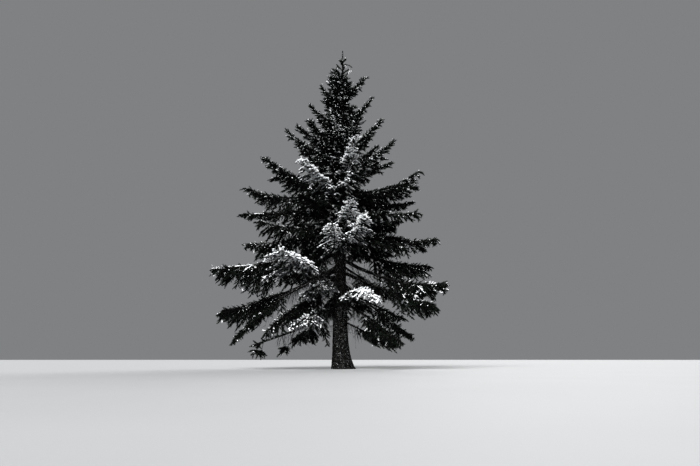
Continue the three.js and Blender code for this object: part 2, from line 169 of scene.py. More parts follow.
# High and inner boughs, whose foliage starts at the trunk
LEAFY_BOUGHS = {
    "low_right": Bough(354, 1.6, 1.8, 1.15, 0.76, 0.3, hang=0.7),
    "low_front": Bough(300, 1.95, 2.3, 2.43, 1.95, 0.2, rime=0.85, snow=0.6, hoar=0.75, hang=0.5),
    "low_far_right": Bough(42, 2.75, 3.15, 2.2, 1.8, 0.5, hang=0.7, full=0.7),
    "low_back": Bough(124, 2.15, 3.1, 1.6, 1.15, 0.34),
    "low_far": Bough(72, 2.75, 2.85, 2.45, 2.35, 0.34, hang=0.8),
    "low_left": Bough(232, 2.05, 2.35, 1.72, 1.25, 0.3, rime=0.68, snow=0.02, hoar=0.8, full=0.7),
    "back_left": Bough(154, 3.3, 3.3, 2.8, 2.48, 0.68),
    "back_far": Bough(98, 3.0, 3.4, 2.55, 2.35, 0.34),
    "inner_front": Bough(264, 3.75, 2.45, 4.02, 4.22, 0.25, rime=0.8, snow=0.8, hoar=0.45, hang=0.7),
    "inner_right": Bough(289, 4.1, 2.4, 4.25, 4.55, 0.2, rime=0.8, snow=0.8, hoar=0.45, hang=0.7),
    "inner_back": Bough(138, 4.0, 3.5, 3.6, 3.5, 0.2, 1),
    "inner_far": Bough(62, 4.6, 3.05, 4.45, 4.5, 0.2, 1, hang=0.8),
    "middle_a": Bough(0, 4.75, 3.4, 4.34, 4.38, 0.12, 1, rime=0.12, snow=0.3, hang=0.85),
    "middle_b": Bough(344, 5.6, 2.75, 5.2, 5.09, 0.1, 1, hang=0.9),
    "middle_c": Bough(6, 6.25, 2.92, 6.27, 7.11, 0.08, 1, hang=1.15),
    "middle_d": Bough(164, 5.05, 3.68, 4.5, 4.46, 0.12, 1, snow=0.45, hang=1.3),
    "middle_e": Bough(193, 5.8, 3.45, 5.28, 5.04, 0.1, 1, snow=0.2, hang=0.7, full=0.85),
    "middle_f": Bough(170, 6.25, 3.61, 6.02, 6.5, 0.1, 1),
    "middle_g": Bough(
        235, 5.65, 2.25, 6.15, 6.6, 0.1, 1, rime=0.98, snow=0.95, hoar=0.95, hang=1.2, full=1.15
    ),
    "middle_h": Bough(280, 4.65, 1.95, 4.85, 5.15, 0.1, 2, rime=0.8, snow=0.8, hoar=0.4, hang=0.7),
    "middle_i": Bough(38, 5.15, 3.1, 4.85, 4.9, 0.1, 1),
    "middle_j": Bough(84, 5.35, 3.05, 5.25, 5.55, 0.1, 2),
    "middle_k": Bough(126, 4.75, 3.1, 4.45, 4.3, 0.1, 0),
    "upper_a": Bough(186, 6.65, 2.85, 6.56, 7.38, 0.08, 1, rime=0.1, hang=1.2, full=1.25),
    "upper_b": Bough(178, 7.25, 2.06, 7.75, 8.58, 0.08, 2, rime=0.1, hang=1.4, full=1.15),
    "upper_c": Bough(350, 6.85, 1.9, 7.27, 7.93, 0.08, 1, rime=0.15, hang=1.3),
    "upper_d": Bough(286, 6.6, 1.75, 6.95, 7.45, 0.08, 2, rime=0.75, snow=0.5, hoar=0.55),
    "upper_e": Bough(126, 6.5, 2.65, 6.6, 7.25, 0.08, 2),
    "upper_f": Bough(40, 7.15, 1.78, 7.7, 8.5, 0.08, 1),
    "top_a": Bough(350, 7.7, 1.46, 8.15, 8.89, 0.05, 2, rime=0.12),
    "top_b": Bough(250, 7.95, 0.95, 8.35, 8.9, 0.05, 2, rime=0.55, snow=0.4, hoar=0.5),
    "top_c": Bough(110, 8.1, 1.45, 8.55, 9.15, 0.05, 2),
    "top_d": Bough(190, 8.7, 1.22, 8.98, 9.48, 0.05, 2, rime=0.15),
    "top_e": Bough(5, 8.85, 1.12, 9.3, 9.98, 0.05, 1, rime=0.15),
    "top_f": Bough(185, 9.65, 0.78, 9.92, 10.34, 0.05, 4, rime=0.15),
    "top_g": Bough(0, 10.05, 0.87, 10.36, 10.84, 0.05, 1, rime=0.05),
    "top_h": Bough(180, 10.6, 0.48, 10.72, 10.9, 0.05, 2, rime=0.12),
}

# Shorter boughs between those of the source, within the same reach
SHORT_BOUGHS = {
    "low_inner": Bough(224, 2.95, 1.8, 2.7, 2.2, 0.12, rime=0.75, snow=0.12, hoar=0.8, hang=1.1),
    "back_right": Bough(48, 3.5, 2.95, 3.05, 2.8, 0.3),
    "middle_l": Bough(18, 5.95, 2.75, 5.8, 6.02, 0.1, 0, hang=0.6),
    "middle_m": Bough(348, 6.1, 2.7, 5.98, 6.12, 0.1, 0, hang=0.6),
    "upper_g": Bough(358, 6.55, 1.78, 6.88, 7.2, 0.08, 0),
    "upper_h": Bough(203, 7.5, 1.72, 7.85, 8.38, 0.08, 1, rime=0.15, hang=0.7),
    "top_i": Bough(208, 9.2, 0.72, 9.4, 9.6, 0.05, 0, rime=0.15),
}

# The dying bough, and the tufts that hang from it: the share of its reach, how far they hang and how far they
# lean outwards
DYING_BOUGH = "left_e"
HANGING_TUFTS = (
    (0.66, 0.5, 0.1),
    (0.69, 0.42, -0.2),
    (0.9, 0.3, 0.2),
    (0.97, 0.22, 0.1),
)

# The leader's own side shoots: height, heading, elevation and length
LEADER_SHOOTS = (
    (11.5, 352, 52, 0.22),
    (11.48, 186, 50, 0.17),
    (11.4, 100, 48, 0.2),
    (11.36, 262, 40, 0.18),
    (11.14, 178, 50, 0.36),
    (11.02, 4, 40, 0.34),
    (11.1, 290, 30, 0.26),
    (11.05, 80, 34, 0.3),
    (10.9, 182, 38, 0.5),
    (10.86, 150, 36, 0.4),
    (10.82, 232, 30, 0.36),
    (10.74, 330, 36, 0.46),
)


@dataclass(frozen=True)
class Habit:
    """How the foliage of a region hangs.

    Args:
        droop: How far a twig sags at its end, as a share of its length.
        comb: The share of side twigs that hang straight down like a comb.
        dip: The share of the source's dip that the other side twigs have.
        every: The distance between two side twigs.
        spread: The share of the source's spread that the side twigs have.
    """

    droop: float
    comb: float
    dip: float
    every: float
    spread: float = 1.0


HABITS = {
    Region.LEFT: Habit(0.24, 0.3, 0.85, 0.046),
    Region.RIGHT: Habit(0.24, 0.3, 0.85, 0.046),
    Region.INNER: Habit(0.26, 0.32, 0.9, 0.066),
    Region.MIDDLE: Habit(0.18, 0.32, 0.8, 0.07),
    Region.UPPER: Habit(0.0, 0.14, 0.65, 0.064, 0.74),
}


def seeded_random(seed: int) -> Callable[[], float]:
    """Makes the source's stream of numbers.

    Args:
        seed: The whole number that the stream starts from.

    Returns:
        A function that gives the next number from 0 to 1.
    """
    state = seed
    mask = 0xFFFFFFFF

    def draw() -> float:
        """Takes the stream one step on.

        Returns:
            The next number.
        """
        nonlocal state
        state = (state + 0x6D2B79F5) & mask
        mixed = ((state ^ (state >> 15)) * (state | 1)) & mask
        mixed ^= (mixed + (((mixed ^ (mixed >> 7)) * (mixed | 61)) & mask)) & mask
        return (mixed ^ (mixed >> 14)) / (mask + 1)

    return draw


def lerp(first: float, last: float, share: float) -> float:
    """The value that is a share of the way from first to last."""
    return first + (last - first) * share


def clamp(value: float, low: float = 0.0, high: float = 1.0) -> float:
    """The value, held between two others."""
    return min(max(value, low), high)


def direction(heading: float, elevation: float) -> Vector:
    """The unit vector at a heading and an elevation, both in degrees."""
    turn, rise = math.radians(heading), math.radians(elevation)
    return Vector((math.cos(turn) * math.cos(rise), math.sin(turn) * math.cos(rise), math.sin(rise)))


def heading_of(along: Vector) -> float:
    """The heading of a direction, in degrees."""
    return math.degrees(math.atan2(along.y, along.x))


def across(along: Vector) -> Vector:
    """A level direction square to this one, shorter the steeper it is."""
    return Vector((-along.y, along.x, 0))


@dataclass(frozen=True)
class Line:
    """A quadratic curve from start to end, pulled towards its control point."""

    start: Vector
    control: Vector
    end: Vector

    @classmethod
    def arched(cls, start: Vector, end: Vector, waist: float) -> "Line":
        """A line that is at the waist's height half-way."""
        middle = (start + end) / 2
        return cls(start, Vector((middle.x, middle.y, 2 * waist - middle.z)), end)

    def point(self, share: float) -> Vector:
        """The place at a share of the line."""
        rest = 1 - share
        return rest * rest * self.start + 2 * rest * share * self.control + share * share * self.end

    def tangent(self, share: float) -> Vector:
        """The unit direction at a share of the line."""
        along = (1 - share) * (self.control - self.start) + share * (self.end - self.control)
        return along.normalized()

    def length(self, steps: int = 12) -> float:
        """The length, from straight steps."""
        points = [self.point(i / steps) for i in range(steps + 1)]
        return sum((b - a).length for a, b in zip(points, points[1:]))


@dataclass(frozen=True)
class Sprout:
    """How a twig or a spray sets off, and how far it sags, as a share of its length."""

    root: Vector
    aim: Vector
    length: float
    droop: float = 0.0

    def line(self) -> Line:
        """Works out where it grows.

        Returns:
            The line, which sets off along the aim and sags.
        """
        end = self.root + self.aim * self.length
        end.z -= self.droop * self.length
        return Line(self.root, self.root + self.aim * (self.length / 2), end)


@dataclass
class Space:
    """The space that the tree may fill, within a margin of the solids' box, and the numbers that it draws."""

    low: Vector
    high: Vector
    margin: float = 0.015
    ground_clearance: float = 0.06
    draw: Callable[[], float] = Random(1).random

    def reseed(self, seed: int) -> None:
        """Starts the stream again from a seed."""
        self.draw = Random(seed).random

    def vary(self, least: float, more: float, power: float = 1.0) -> float:
        """A number from least to more above it, which a power brings nearer to the least."""
        return least + more * self.draw() ** power

    def shift(self, width: float, middle: float = 0.5) -> float:
        """A number from a stretch of this width, which has 0 at a share of it."""
        return width * (self.draw() - middle)

    def shares(self, first: float, last: float, count: int) -> Iterator[float]:
        """One share from each of this many equal stretches between first and last."""
        return (lerp(first, last, (i + self.draw()) / count) for i in range(count))

    def holds(self, place: Vector) -> bool:
        """Whether a place is above the ground and within the reach of the solids."""
        inside = (self.low[k] - self.margin < place[k] < self.high[k] + self.margin for k in range(3))
        return place.z >= self.ground_clearance and all(inside)


def linked(name: str, data: ID) -> Object:
    """Adds an object to the scene.

    Args:
        name: Its name.
        data: What it holds: a mesh, a light or a camera.

    Returns:
        The object.
    """
    made = bpy.data.objects.new(name, data)
    bpy.context.scene.collection.objects.link(made)
    return made


def mesh_object(name: str, corners: np.ndarray, triangles: np.ndarray, smooth: bool) -> Object:
    """Makes an object from arrays.

    Args:
        name: The name of the piece.
        corners: One row of x, y, z for each corner.
        triangles: One row of three corner numbers for each face.
        smooth: Whether its faces are shaded smooth.

    Returns:
        The object, linked to the scene.
    """
    mesh = bpy.data.meshes.new(name)
    mesh.vertices.add(len(corners))
    mesh.vertices.foreach_set("co", corners.astype(np.float32).ravel())
    mesh.loops.add(triangles.size)
    mesh.loops.foreach_set("vertex_index", triangles.astype(np.int32).ravel())
    mesh.polygons.add(len(triangles))
    mesh.polygons.foreach_set("loop_start", np.arange(0, triangles.size, 3, dtype=np.int32))
    mesh.polygons.foreach_set("use_smooth", np.full(len(triangles), smooth))
    mesh.update(calc_edges=True)
    return linked(name, mesh)


@dataclass(frozen=True)
class Pattern:
    """The corners and triangles of one shape. A small one lies along z from 0 to 1."""

    corners: np.ndarray
    triangles: np.ndarray

    @classmethod
    def of(cls, bm: BMesh) -> "Pattern":
        """Reads a pattern out of a bmesh, which is freed.

        Args:
            bm: The shape.

        Returns:
            Its corners and triangles as arrays.
        """
        bmesh.ops.triangulate(bm, faces=bm.faces[:])
        bm.verts.index_update()
        corners = np.array([v.co[:] for v in bm.verts], float)
        triangles = np.array([[v.index for v in f.verts] for f in bm.faces], int)
        bm.free()
        return cls(corners, triangles)

    def piece(self, name: str, smooth: bool) -> Object:
        """The shape as an object."""
        return mesh_object(name, self.corners, self.triangles, smooth)


def place_piece(piece: Object, material: Material, slot: Slot, nodes: list[str]) -> None:
    """Dresses a piece and ties it to the frame.

    Args:
        piece: The object.
        material: Its finish.
        slot: Not used.
        nodes: The nodes of the solids that it stands for.
    """
    piece.data.materials.append(material)
    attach(piece, ROOT_BODY)
    if nodes:
        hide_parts(*nodes)
    log.info("%s: %d triangles", piece.name, len(piece.data.polygons))


@dataclass
class Strands:
    """Many copies of one pattern, each bent along a line of its own, in one mesh."""

    pattern: Pattern
    smooth: bool = False
    # An upright direction that no line follows exactly, from which each copy gets its upper side
    upright: tuple[float, float, float] = (0.031, 0.047, 1.0)
    rows: list[tuple[float, ...]] = field(default_factory=list)

    def add(self, line: Line, girth: float, end_girth: float, roll: float = 0.0) -> None:
        """Adds one copy along a line, with its girth at either end and its roll in radians."""
        self.rows.append((*line.start, *line.control, *line.end, girth, end_girth, roll))

    def build(self, name: str) -> Object:
        """Makes the mesh of all the copies.

        Args:
            name: The name of the piece.

        Returns:
            The object.
        """
        rows = np.array(self.rows)[:, None, :]
        start, control, end = rows[..., 0:3], rows[..., 3:6], rows[..., 6:9]
        girth, end_girth, roll = rows[..., 9:10], rows[..., 10:11], rows[..., 11:12]
        side, top, along = (self.pattern.corners[None, :, k : k + 1] for k in range(3))
        rest = 1 - along
        middle = rest**2 * start + 2 * rest * along * control + along**2 * end
        tangent = rest * (control - start) + along * (end - control)
        tangent /= np.linalg.norm(tangent, axis=2, keepdims=True)
        level = np.cross(np.array(self.upright), tangent)
        level /= np.linalg.norm(level, axis=2, keepdims=True)
        above = np.cross(tangent, level)
        width = girth + (end_girth - girth) * along
        turned_side = side * np.cos(roll) - top * np.sin(roll)
        turned_top = side * np.sin(roll) + top * np.cos(roll)
        corners = middle + width * (turned_side * level + turned_top * above)
        offsets = np.arange(len(rows))[:, None, None] * len(self.pattern.corners)
        triangles = self.pattern.triangles[None] + offsets
        return mesh_object(name, corners.reshape(-1, 3), triangles.reshape(-1, 3), self.smooth)

    def dress(self, name: str, material: Material, slot: Slot, nodes: list[str] | None = None) -> None:
        """Builds the piece of this name and dresses it, unless it has no copies."""
        if self.rows:
            place_piece(self.build(name), material, slot, nodes or [])


# Patterns of the small parts


def drum(sides: int, end: float, stretches: int, foot: float = 0.0) -> BMesh:
    """Makes a closed drum along z, 1 long, with a radius of 1 at its start.

    Args:
        sides: How many sides it has.
        end: Its radius at the end.
        stretches: How many stretches it has along its length.
        foot: The height that it starts at.

    Returns:
        The drum.
    """
    bm = bmesh.new()
    bmesh.ops.create_cone(bm, cap_ends=True, cap_tris=False, segments=sides, radius1=1, radius2=end, depth=1)
    bmesh.ops.translate(bm, verts=bm.verts[:], vec=(0, 0, foot + 0.5))
    if stretches > 1:
        lengthwise = [e for e in bm.edges if abs(e.verts[0].co.z - e.verts[1].co.z) > 0.5]
        bmesh.ops.subdivide_edges(bm, edges=lengthwise, cuts=stretches - 1, use_grid_fill=True)
    return bm


def rod_pattern(sides: int, stretches: int, end: float, knots: float = 0.0) -> Pattern:
    """Makes a rod.

    Args:
        sides: How many sides it has.
        stretches: How many stretches it has along its length.
        end: Its radius at the end, where it is 1 at the start.
        knots: How uneven its radius is.

    Returns:
        The pattern.
    """
    knots_along, knot_scale = 11, 1.3
    bm = drum(sides, end, stretches)
    for vertex in bm.verts:
        place = Vector((vertex.co.x, vertex.co.y, vertex.co.z * knots_along))
        swelling = 1 + knots * noise.noise(place * knot_scale)
        vertex.co.x *= swelling
        vertex.co.y *= swelling
    return Pattern.of(bm)


@dataclass(frozen=True)
class NeedlePattern:
    """A shoot with pairs of needles all round it. Sizes are shares of the shoot's length.

    Args:
        pairs: How many pairs of needles it has.
        length: The length of a needle.
        shortening: How much shorter the last needles are.
        width: The width of a needle at its foot.
        lean: The angle from the shoot at its foot and its tip, in degrees.
        turn: The angle about the shoot from each pair to the next, in degrees.
        stretch: Where on the shoot the first and the last pair stand.
    """

    pairs: int = 8
    length: float = 0.42
    shortening: float = 0.25
    width: float = 0.205
    lean: Span = (60.0, 28.0)
    turn: float = 71.0
    stretch: Span = (0.05, 0.9)

    def build(self) -> Pattern:
        """Makes the pattern.

        Returns:
            The pattern, in which each pair is a flat diamond, split into two triangles along the shoot.
        """
        bm = bmesh.new()
        for i in range(self.pairs):
            share = i / (self.pairs - 1)
            lean = math.radians(lerp(*self.lean, share))
            length = self.length * (1 - self.shortening * share)
            ring = bmesh.ops.create_circle(bm, cap_ends=True, segments=4, radius=1)["verts"]
            feet = [v for v in ring if abs(v.co.x) < 0.5]
            bmesh.ops.connect_verts(bm, verts=feet)
            for vertex in ring:
                side = round(vertex.co.x)
                foot = self.width / 2 * round(vertex.co.y)
                forward = length * math.cos(lean) if side else foot
                vertex.co = (side * length * math.sin(lean), 0, forward)
            turn = Matrix.Rotation(math.radians(self.turn * i), 3, "Z")
            bmesh.ops.rotate(bm, verts=ring, cent=(0, 0, 0), matrix=turn)
            bmesh.ops.translate(bm, verts=ring, vec=(0, 0, lerp(*self.stretch, share)))
        return Pattern.of(bm)


def lump_pattern() -> Pattern:
    """Makes a low lump of snow.

    Returns:
        The pattern, rounded above and nearly flat below.
    """
    above, below, half_length = 0.7, 0.25, 0.58
    bm = bmesh.new()
    bmesh.ops.create_icosphere(bm, subdivisions=1, radius=1)
    for vertex in bm.verts:
        side, up, along = vertex.co
        vertex.co = (side, up * (below if up < 0 else above), 0.5 + along * half_length)
    return Pattern.of(bm)


def drift_pattern() -> Pattern:
    """Makes a long low drift of snow.

    Returns:
        The pattern, uneven and rounded at both ends.
    """
    above, below, end_width, unevenness, swells = 0.85, 0.35, 0.25, 0.45, 7
    bm = drum(6, 1, 8)
    for vertex in bm.verts:
        side, up, along = vertex.co
        rounding = math.sin(math.pi * clamp(along, 0.02, 0.98)) ** 0.5
        swelling = 1 + unevenness * noise.noise(Vector((side, up, along * swells)))
        swelling *= end_width + (1 - end_width) * rounding
        vertex.co = (side * swelling, up * swelling * (below if up < 0 else above), along)
    return Pattern.of(bm)


# Finishes


@dataclass
class Signal:
    """A node's output, on which arithmetic adds Math nodes."""

    tree: "ShaderTree"
    socket: NodeSocket

    def _maths(self, operation: str, first: "Signal | float", second: "Signal | float") -> "Signal":
        """Adds one Math node."""
        return self.tree.node("ShaderNodeMath", {"operation": operation}, {0: first, 1: second})

    def __add__(self, other: "Signal | float") -> "Signal":
        """The sum."""
        return self._maths("ADD", self, other)

    def __radd__(self, other: float) -> "Signal":
        """The sum, with a number first."""
        return self._maths("ADD", other, self)

    def __sub__(self, other: "Signal | float") -> "Signal":
        """The difference."""
        return self._maths("SUBTRACT", self, other)

    def __rsub__(self, other: float) -> "Signal":
        """The difference, with a number first."""
        return self._maths("SUBTRACT", other, self)

    def __mul__(self, other: "Signal | float") -> "Signal":
        """The product."""
        return self._maths("MULTIPLY", self, other)

    def __rmul__(self, other: float) -> "Signal":
        """The product, with a number first."""
        return self._maths("MULTIPLY", other, self)

    def clamped(self) -> "Signal":
        """The same value, held between 0 and 1."""
        return self.tree.node("ShaderNodeClamp", {}, {"Value": self})


@dataclass
class ShaderTree:
    """The nodes of one material."""

    name: str

    def __post_init__(self) -> None:
        """Makes the material."""
        self.material = bpy.data.materials.new(self.name)
        self.material.use_nodes = True

    def node(
        self,
        kind: str,
        settings: dict[str, object],
        inputs: dict[int | str, object],
        output: int | str = 0,
    ) -> Signal:
        """Adds one node.

        Args:
            kind: The node's type.
            settings: What is set on the node itself. "stops" gives the places and greys of a ramp.
            inputs: The value or signal of each socket that is set.
            output: Which output is given back.

        Returns:
            That output.
        """
        made = self.material.node_tree.nodes.new(kind)
        for key, value in settings.items():
            if key == "stops":
                self._set_stops(made.color_ramp, value)
            else:
                setattr(made, key, value)
        for key, value in inputs.items():
            self._feed(made.inputs[key], value)
        return Signal(self, made.outputs[output])

    def _feed(self, socket: NodeSocket, value: object) -> None:
        """Links a signal to a socket, or sets a value on it.

        Args:
            socket: The socket.
            value: The signal or value.
        """
        if isinstance(value, Signal):
            self.material.node_tree.links.new(value.socket, socket)
        else:
            socket.default_value = value

    def _set_stops(self, ramp: ColorRamp, stops: list[tuple[float, float]]) -> None:
        """Sets a ramp's stops.

        Args:
            ramp: The ramp.
            stops: The place and the grey of each.
        """
        while len(ramp.elements) < len(stops):
            ramp.elements.new(0.5)
        for element, (place, grey) in zip(ramp.elements, stops):
            element.position = place
            element.color = (grey, grey, grey, 1)

    def place(self) -> Signal:
        """The place on the object, in metres."""
        return self.node("ShaderNodeTexCoord", {}, {}, "Object")

    def stretched(self, place: Signal, scale: tuple[float, float, float]) -> Signal:
        """The same place, stretched along each axis."""
        return self.node("ShaderNodeMapping", {}, {"Vector": place, "Scale": scale})

    def noise(self, place: Signal, scale: float, detail: float = 2.0, roughness: float = 0.5) -> Signal:
        """Soft noise of this many spots to the metre."""
        values = {"Vector": place, "Scale": scale, "Detail": detail, "Roughness": roughness}
        return self.node("ShaderNodeTexNoise", {}, values, 0)

    def cracks(self, place: Signal, scale: float) -> Signal:
        """The distance from the edges of cells."""
        values = {"Vector": place, "Scale": scale}
        return self.node("ShaderNodeTexVoronoi", {"feature": "DISTANCE_TO_EDGE"}, values, 0)

    def ramp(self, value: Signal, low: float, high: float) -> Signal:
        """0 below low and 1 above high, with a slope between."""
        return self.node("ShaderNodeValToRGB", {"stops": [(low, 0), (high, 1)]}, {"Fac": value})

    def mix(self, share: Signal, first: object, second: object) -> Signal:
        """A colour between two, by a share."""
        inputs = {0: share, 6: _with_alpha(first), 7: _with_alpha(second)}
        return self.node("ShaderNodeMix", {"data_type": "RGBA"}, inputs, 2)

    def bump(self, height: Signal, distance: float, strength: float) -> Signal:
        """A bump for the shader's normal."""
        inputs = {"Height": height, "Distance": distance, "Strength": strength}
        return self.node("ShaderNodeBump", {}, inputs, "Normal")

    def finish(self, **sockets: object) -> Material:
        """Sets the shader's sockets.

        Args:
            **sockets: The value or signal of each, by its name with low lines for spaces.

        Returns:
            The material.
        """
        shader = self.material.node_tree.nodes["Principled BSDF"]
        for key, value in sockets.items():
            self._feed(shader.inputs[key.replace("_", " ")], value)
        return self.material


def _with_alpha(colour: object) -> object:
    """A colour with a fourth number, or the signal as it is."""
    return colour if isinstance(colour, Signal) else (*colour, 1)


@dataclass(frozen=True)
class BarkFinish:
    """Dark scaly bark with grey lichen, and specks of snow caught in it."""

    name: str = "bark"
    plate: Colour = (0.044, 0.0427, 0.0406)
    crack: Colour = (0.0026, 0.0025, 0.0024)
    lichen: Colour = (0.17, 0.175, 0.17)
    snow: Colour = (0.78, 0.8, 0.82)
    scales_per_metre: float = 34.0
    # How the scales are stretched, and where the noise turns from one look to the next
    scale_stretch: tuple[float, float, float] = (1, 1, 0.55)
    crack_edge: Span = (0.02, 0.22)
    worn_edge: Span = (0.38, 0.62)
    lichen_edge: Span = (0.53, 0.65)
    lichen_share: float = 0.6
    snow_line: float = 0.645
    snow_edge: float = 0.04
    relief: float = 0.008

    def material(self) -> Material:
        """Makes the finish.

        Returns:
            The material.
        """
        tree = ShaderTree(self.name)
        place = tree.place()
        long_place = tree.stretched(place, self.scale_stretch)
        wander = tree.noise(place, 9, 3)
        cracks = tree.ramp(tree.cracks(long_place, self.scales_per_metre), *self.crack_edge)
        fine = tree.noise(place, 120, 4, 0.65)
        worn = tree.ramp(tree.noise(place, 11, 4, 0.65), *self.worn_edge)
        plates = tree.mix(cracks * (0.35 * fine + 0.1 + 0.75 * worn), self.crack, self.plate)
        lichen = tree.ramp(tree.noise(place, 22, 5, 0.7) * (0.6 + 0.7 * wander), *self.lichen_edge)
        aged = tree.mix(lichen * self.lichen_share, plates, self.lichen)
        caught = tree.ramp(tree.noise(place, 30, 3, 0.6), self.snow_line, self.snow_line + self.snow_edge)
        colour = tree.mix(caught, aged, self.snow)
        height = cracks * 0.7 + fine * 0.3
        return tree.finish(
            Base_Color=colour,
            Roughness=0.95 - 0.25 * caught,
            Specular_IOR_Level=0.08,
            Normal=tree.bump(height, self.relief, 0.8),
        )


@dataclass(frozen=True)
class NeedleFinish:
    """Waxy needles of one colour, lighter and darker from spray to spray."""

    name: str
    colour: Colour
    variation: float = 0.3
    roughness: float = 0.55
    gloss: float = 0.06
    brightest: float = 0.92

    def material(self) -> Material:
        """Makes the finish.

        Returns:
            The material.
        """
        tree = ShaderTree(self.name)
        place = tree.place()
        spray = tree.noise(place, 7, 2)
        needle = tree.noise(place, 90, 2)
        dull = tuple(part * (1 - self.variation) for part in self.colour)
        bright = tuple(min(part * (1 + self.variation), self.brightest) for part in self.colour)
        share = (spray * 0.6 + needle * 0.6 - 0.1).clamped()
        return tree.finish(
            Base_Color=tree.mix(share, dull, bright),
            Roughness=self.roughness + 0.2 * needle,
            Specular_IOR_Level=self.gloss,
        )


@dataclass(frozen=True)
class SnowFinish:
    """Settled snow: white, a little grey where it is packed, with a grainy surface."""

    name: str = "snow"
    packed: Colour = (0.8, 0.82, 0.84)
    fresh: Colour = (0.92, 0.93, 0.94)
    grains_per_metre: float = 260.0
    relief: float = 0.003

    def material(self) -> Material:
        """Makes the finish.

        Returns:
            The material.
        """
        tree = ShaderTree(self.name)
        place = tree.place()
        settled = tree.noise(place, 14, 3)
        grain = tree.noise(place, self.grains_per_metre, 2)
        return tree.finish(
            Base_Color=tree.mix(settled, self.packed, self.fresh),
            Roughness=0.5 + 0.3 * grain,
            Normal=tree.bump(grain, self.relief, 0.5),
        )


@dataclass(frozen=True)
class FloorFinish:
    """A plain pale floor."""

    name: str = "pale_floor"
    colour: Colour = (0.34, 0.344, 0.348)
    darkest: float = 0.94

    def material(self) -> Material:
        """Makes the finish.

        Returns:
            The material.
        """
        tree = ShaderTree(self.name)
        cloud = tree.noise(tree.place(), 0.6, 3)
        darker = tuple(part * self.darkest for part in self.colour)
        return tree.finish(Base_Color=tree.mix(cloud, darker, self.colour), Roughness=0.85)


TWIG_BARK = BarkFinish("twig_bark", (0.024, 0.023, 0.021), scales_per_metre=90, snow_line=0.72)
RIMED_BARK = BarkFinish(
    "rimed_bark",
    (0.2, 0.205, 0.21),
    (0.1, 0.102, 0.105),
    (0.3, 0.3, 0.3),
    scales_per_metre=90,
)
NEEDLE_FINISHES = {
    Tone.DARK: NeedleFinish("needles_dark", (0.007, 0.0096, 0.0077)),
    Tone.GREEN: NeedleFinish("needles_green", (0.017, 0.023, 0.018)),
    Tone.RIMED: NeedleFinish("needles_rimed", (0.17, 0.175, 0.18), 0.5, 0.65),
    Tone.WHITE: NeedleFinish("needles_white", (0.87, 0.88, 0.89), 0.08, 0.7),
}


# The trunk


@dataclass
class Trunk:
    """The trunk, from its flat cut on the ground to the leader's tip, with the bark's relief.

    Roots swell its foot in lobes, each with a heading, a reach and a width in degrees.
    """

    height: float = 12.0
    base_radius: float = 0.276
    taper_power: float = 1.05
    leader_radius: float = 0.007
    flare_reach: float = 0.042
    flare_height: float = 0.35
    lobes: tuple[tuple[float, float, float], ...] = (
        (4, 0.17, 30),
        (78, 0.06, 26),
        (140, 0.045, 24),
        (205, 0.03, 26),
        (262, 0.075, 28),
        (322, 0.055, 22),
    )
    lobe_height: float = 0.33
    sway: float = 0.072
    sides: int = 80
    rings: int = 230
    ring_power: float = 1.3
    # The bark's relief: plates with grooves between them on soft swells, fading where the trunk is thin
    plate_size: float = 0.075
    plate_squash: float = 0.6
    plate_steepness: float = 3.2
    plate_power: float = 0.7
    groove: float = 0.011
    unevenness: float = 0.009
    swells_per_metre: float = 5.0
    full_relief_radius: float = 0.25

    def centre(self, height: float) -> Vector:
        """The middle of the trunk at a height: it sways a little to the left low down."""
        share = height / self.height
        return Vector((-self.sway * math.sin(2 * math.pi * share) * (1 - share), 0, height))

    def radius(self, height: float, heading: float) -> float:
        """Works out the trunk's radius, with the flare and the root lobes near the ground.

        Args:
            height: The height above the ground.
            heading: The side of the trunk.

        Returns:
            The radius.
        """
        taper = self.base_radius * max(1 - height / self.height, 0) ** self.taper_power
        flare = self.flare_reach * math.exp(-height / self.flare_height)
        lobes = 0.0
        for lobe_heading, reach, width in self.lobes:
            apart = abs((heading - lobe_heading + 540) % 360 - 180)
            lobes += reach * math.exp(-((apart / width) ** 2))
        return self.leader_radius + taper + flare + lobes * math.exp(-height / self.lobe_height)

    def relief(self, place: Vector, radius: float) -> float:
        """How far the bark stands in or out of the trunk's radius at a place.

        Args:
            place: The place on the smooth trunk.
            radius: The trunk's radius there, which the relief fades with.

        Returns:
            The distance, always inwards from the outermost plates.
        """
        plate_place = Vector((place.x, place.y, place.z * self.plate_squash)) / self.plate_size
        near, far = noise.voronoi(plate_place)[0][:2]
        plate = min((far - near) * self.plate_steepness, 1) ** self.plate_power
        swell = 0.5 + 0.5 * noise.noise(place * self.swells_per_metre)
        thickness = min(radius / self.full_relief_radius, 1) ** 0.5
        return -thickness * (self.groove * (1 - plate) + self.unevenness * swell)

    def build(self) -> Object:
        """Makes the trunk: a drum whose rings are drawn in to the trunk's radius and roughened.

        Returns:
            The object.
        """
        foot = -0.5
        bm = drum(self.sides, 1, self.rings, foot)
        for vertex in bm.verts:
            height = self.height * clamp(vertex.co.z - foot) ** self.ring_power
            heading = heading_of(vertex.co)
            radius = self.radius(height, heading)
            outward = direction(heading, 0)
            smooth = self.centre(height) + outward * radius
            vertex.co = smooth + outward * self.relief(smooth, radius)
        bmesh.ops.recalc_face_normals(bm, faces=bm.faces[:])
        return Pattern.of(bm).piece("trunk_bark", True)

    def dress(self, piece: Object, bark: Material) -> None:
        """Gives the trunk its bark and ties it to the frame."""
        place_piece(piece, bark, Slot.BARK, ["trunk"])


# The crown


@dataclass(frozen=True)
class Axis:
    """One line of foliage: a bough, or a side bough that leaves it."""

    line: Line
    reach: float
    bough: Bough
    region: Region
    root_radius: float = 0.009
    radius_per_reach: float = 0.0112
    tip_radius: float = 0.005

    def radius(self, share: float) -> float:
        """The radius of the wood, from 0 at the trunk to 1 at the tip."""
        return lerp(self.root_radius + self.radius_per_reach * self.reach, self.tip_radius, share)


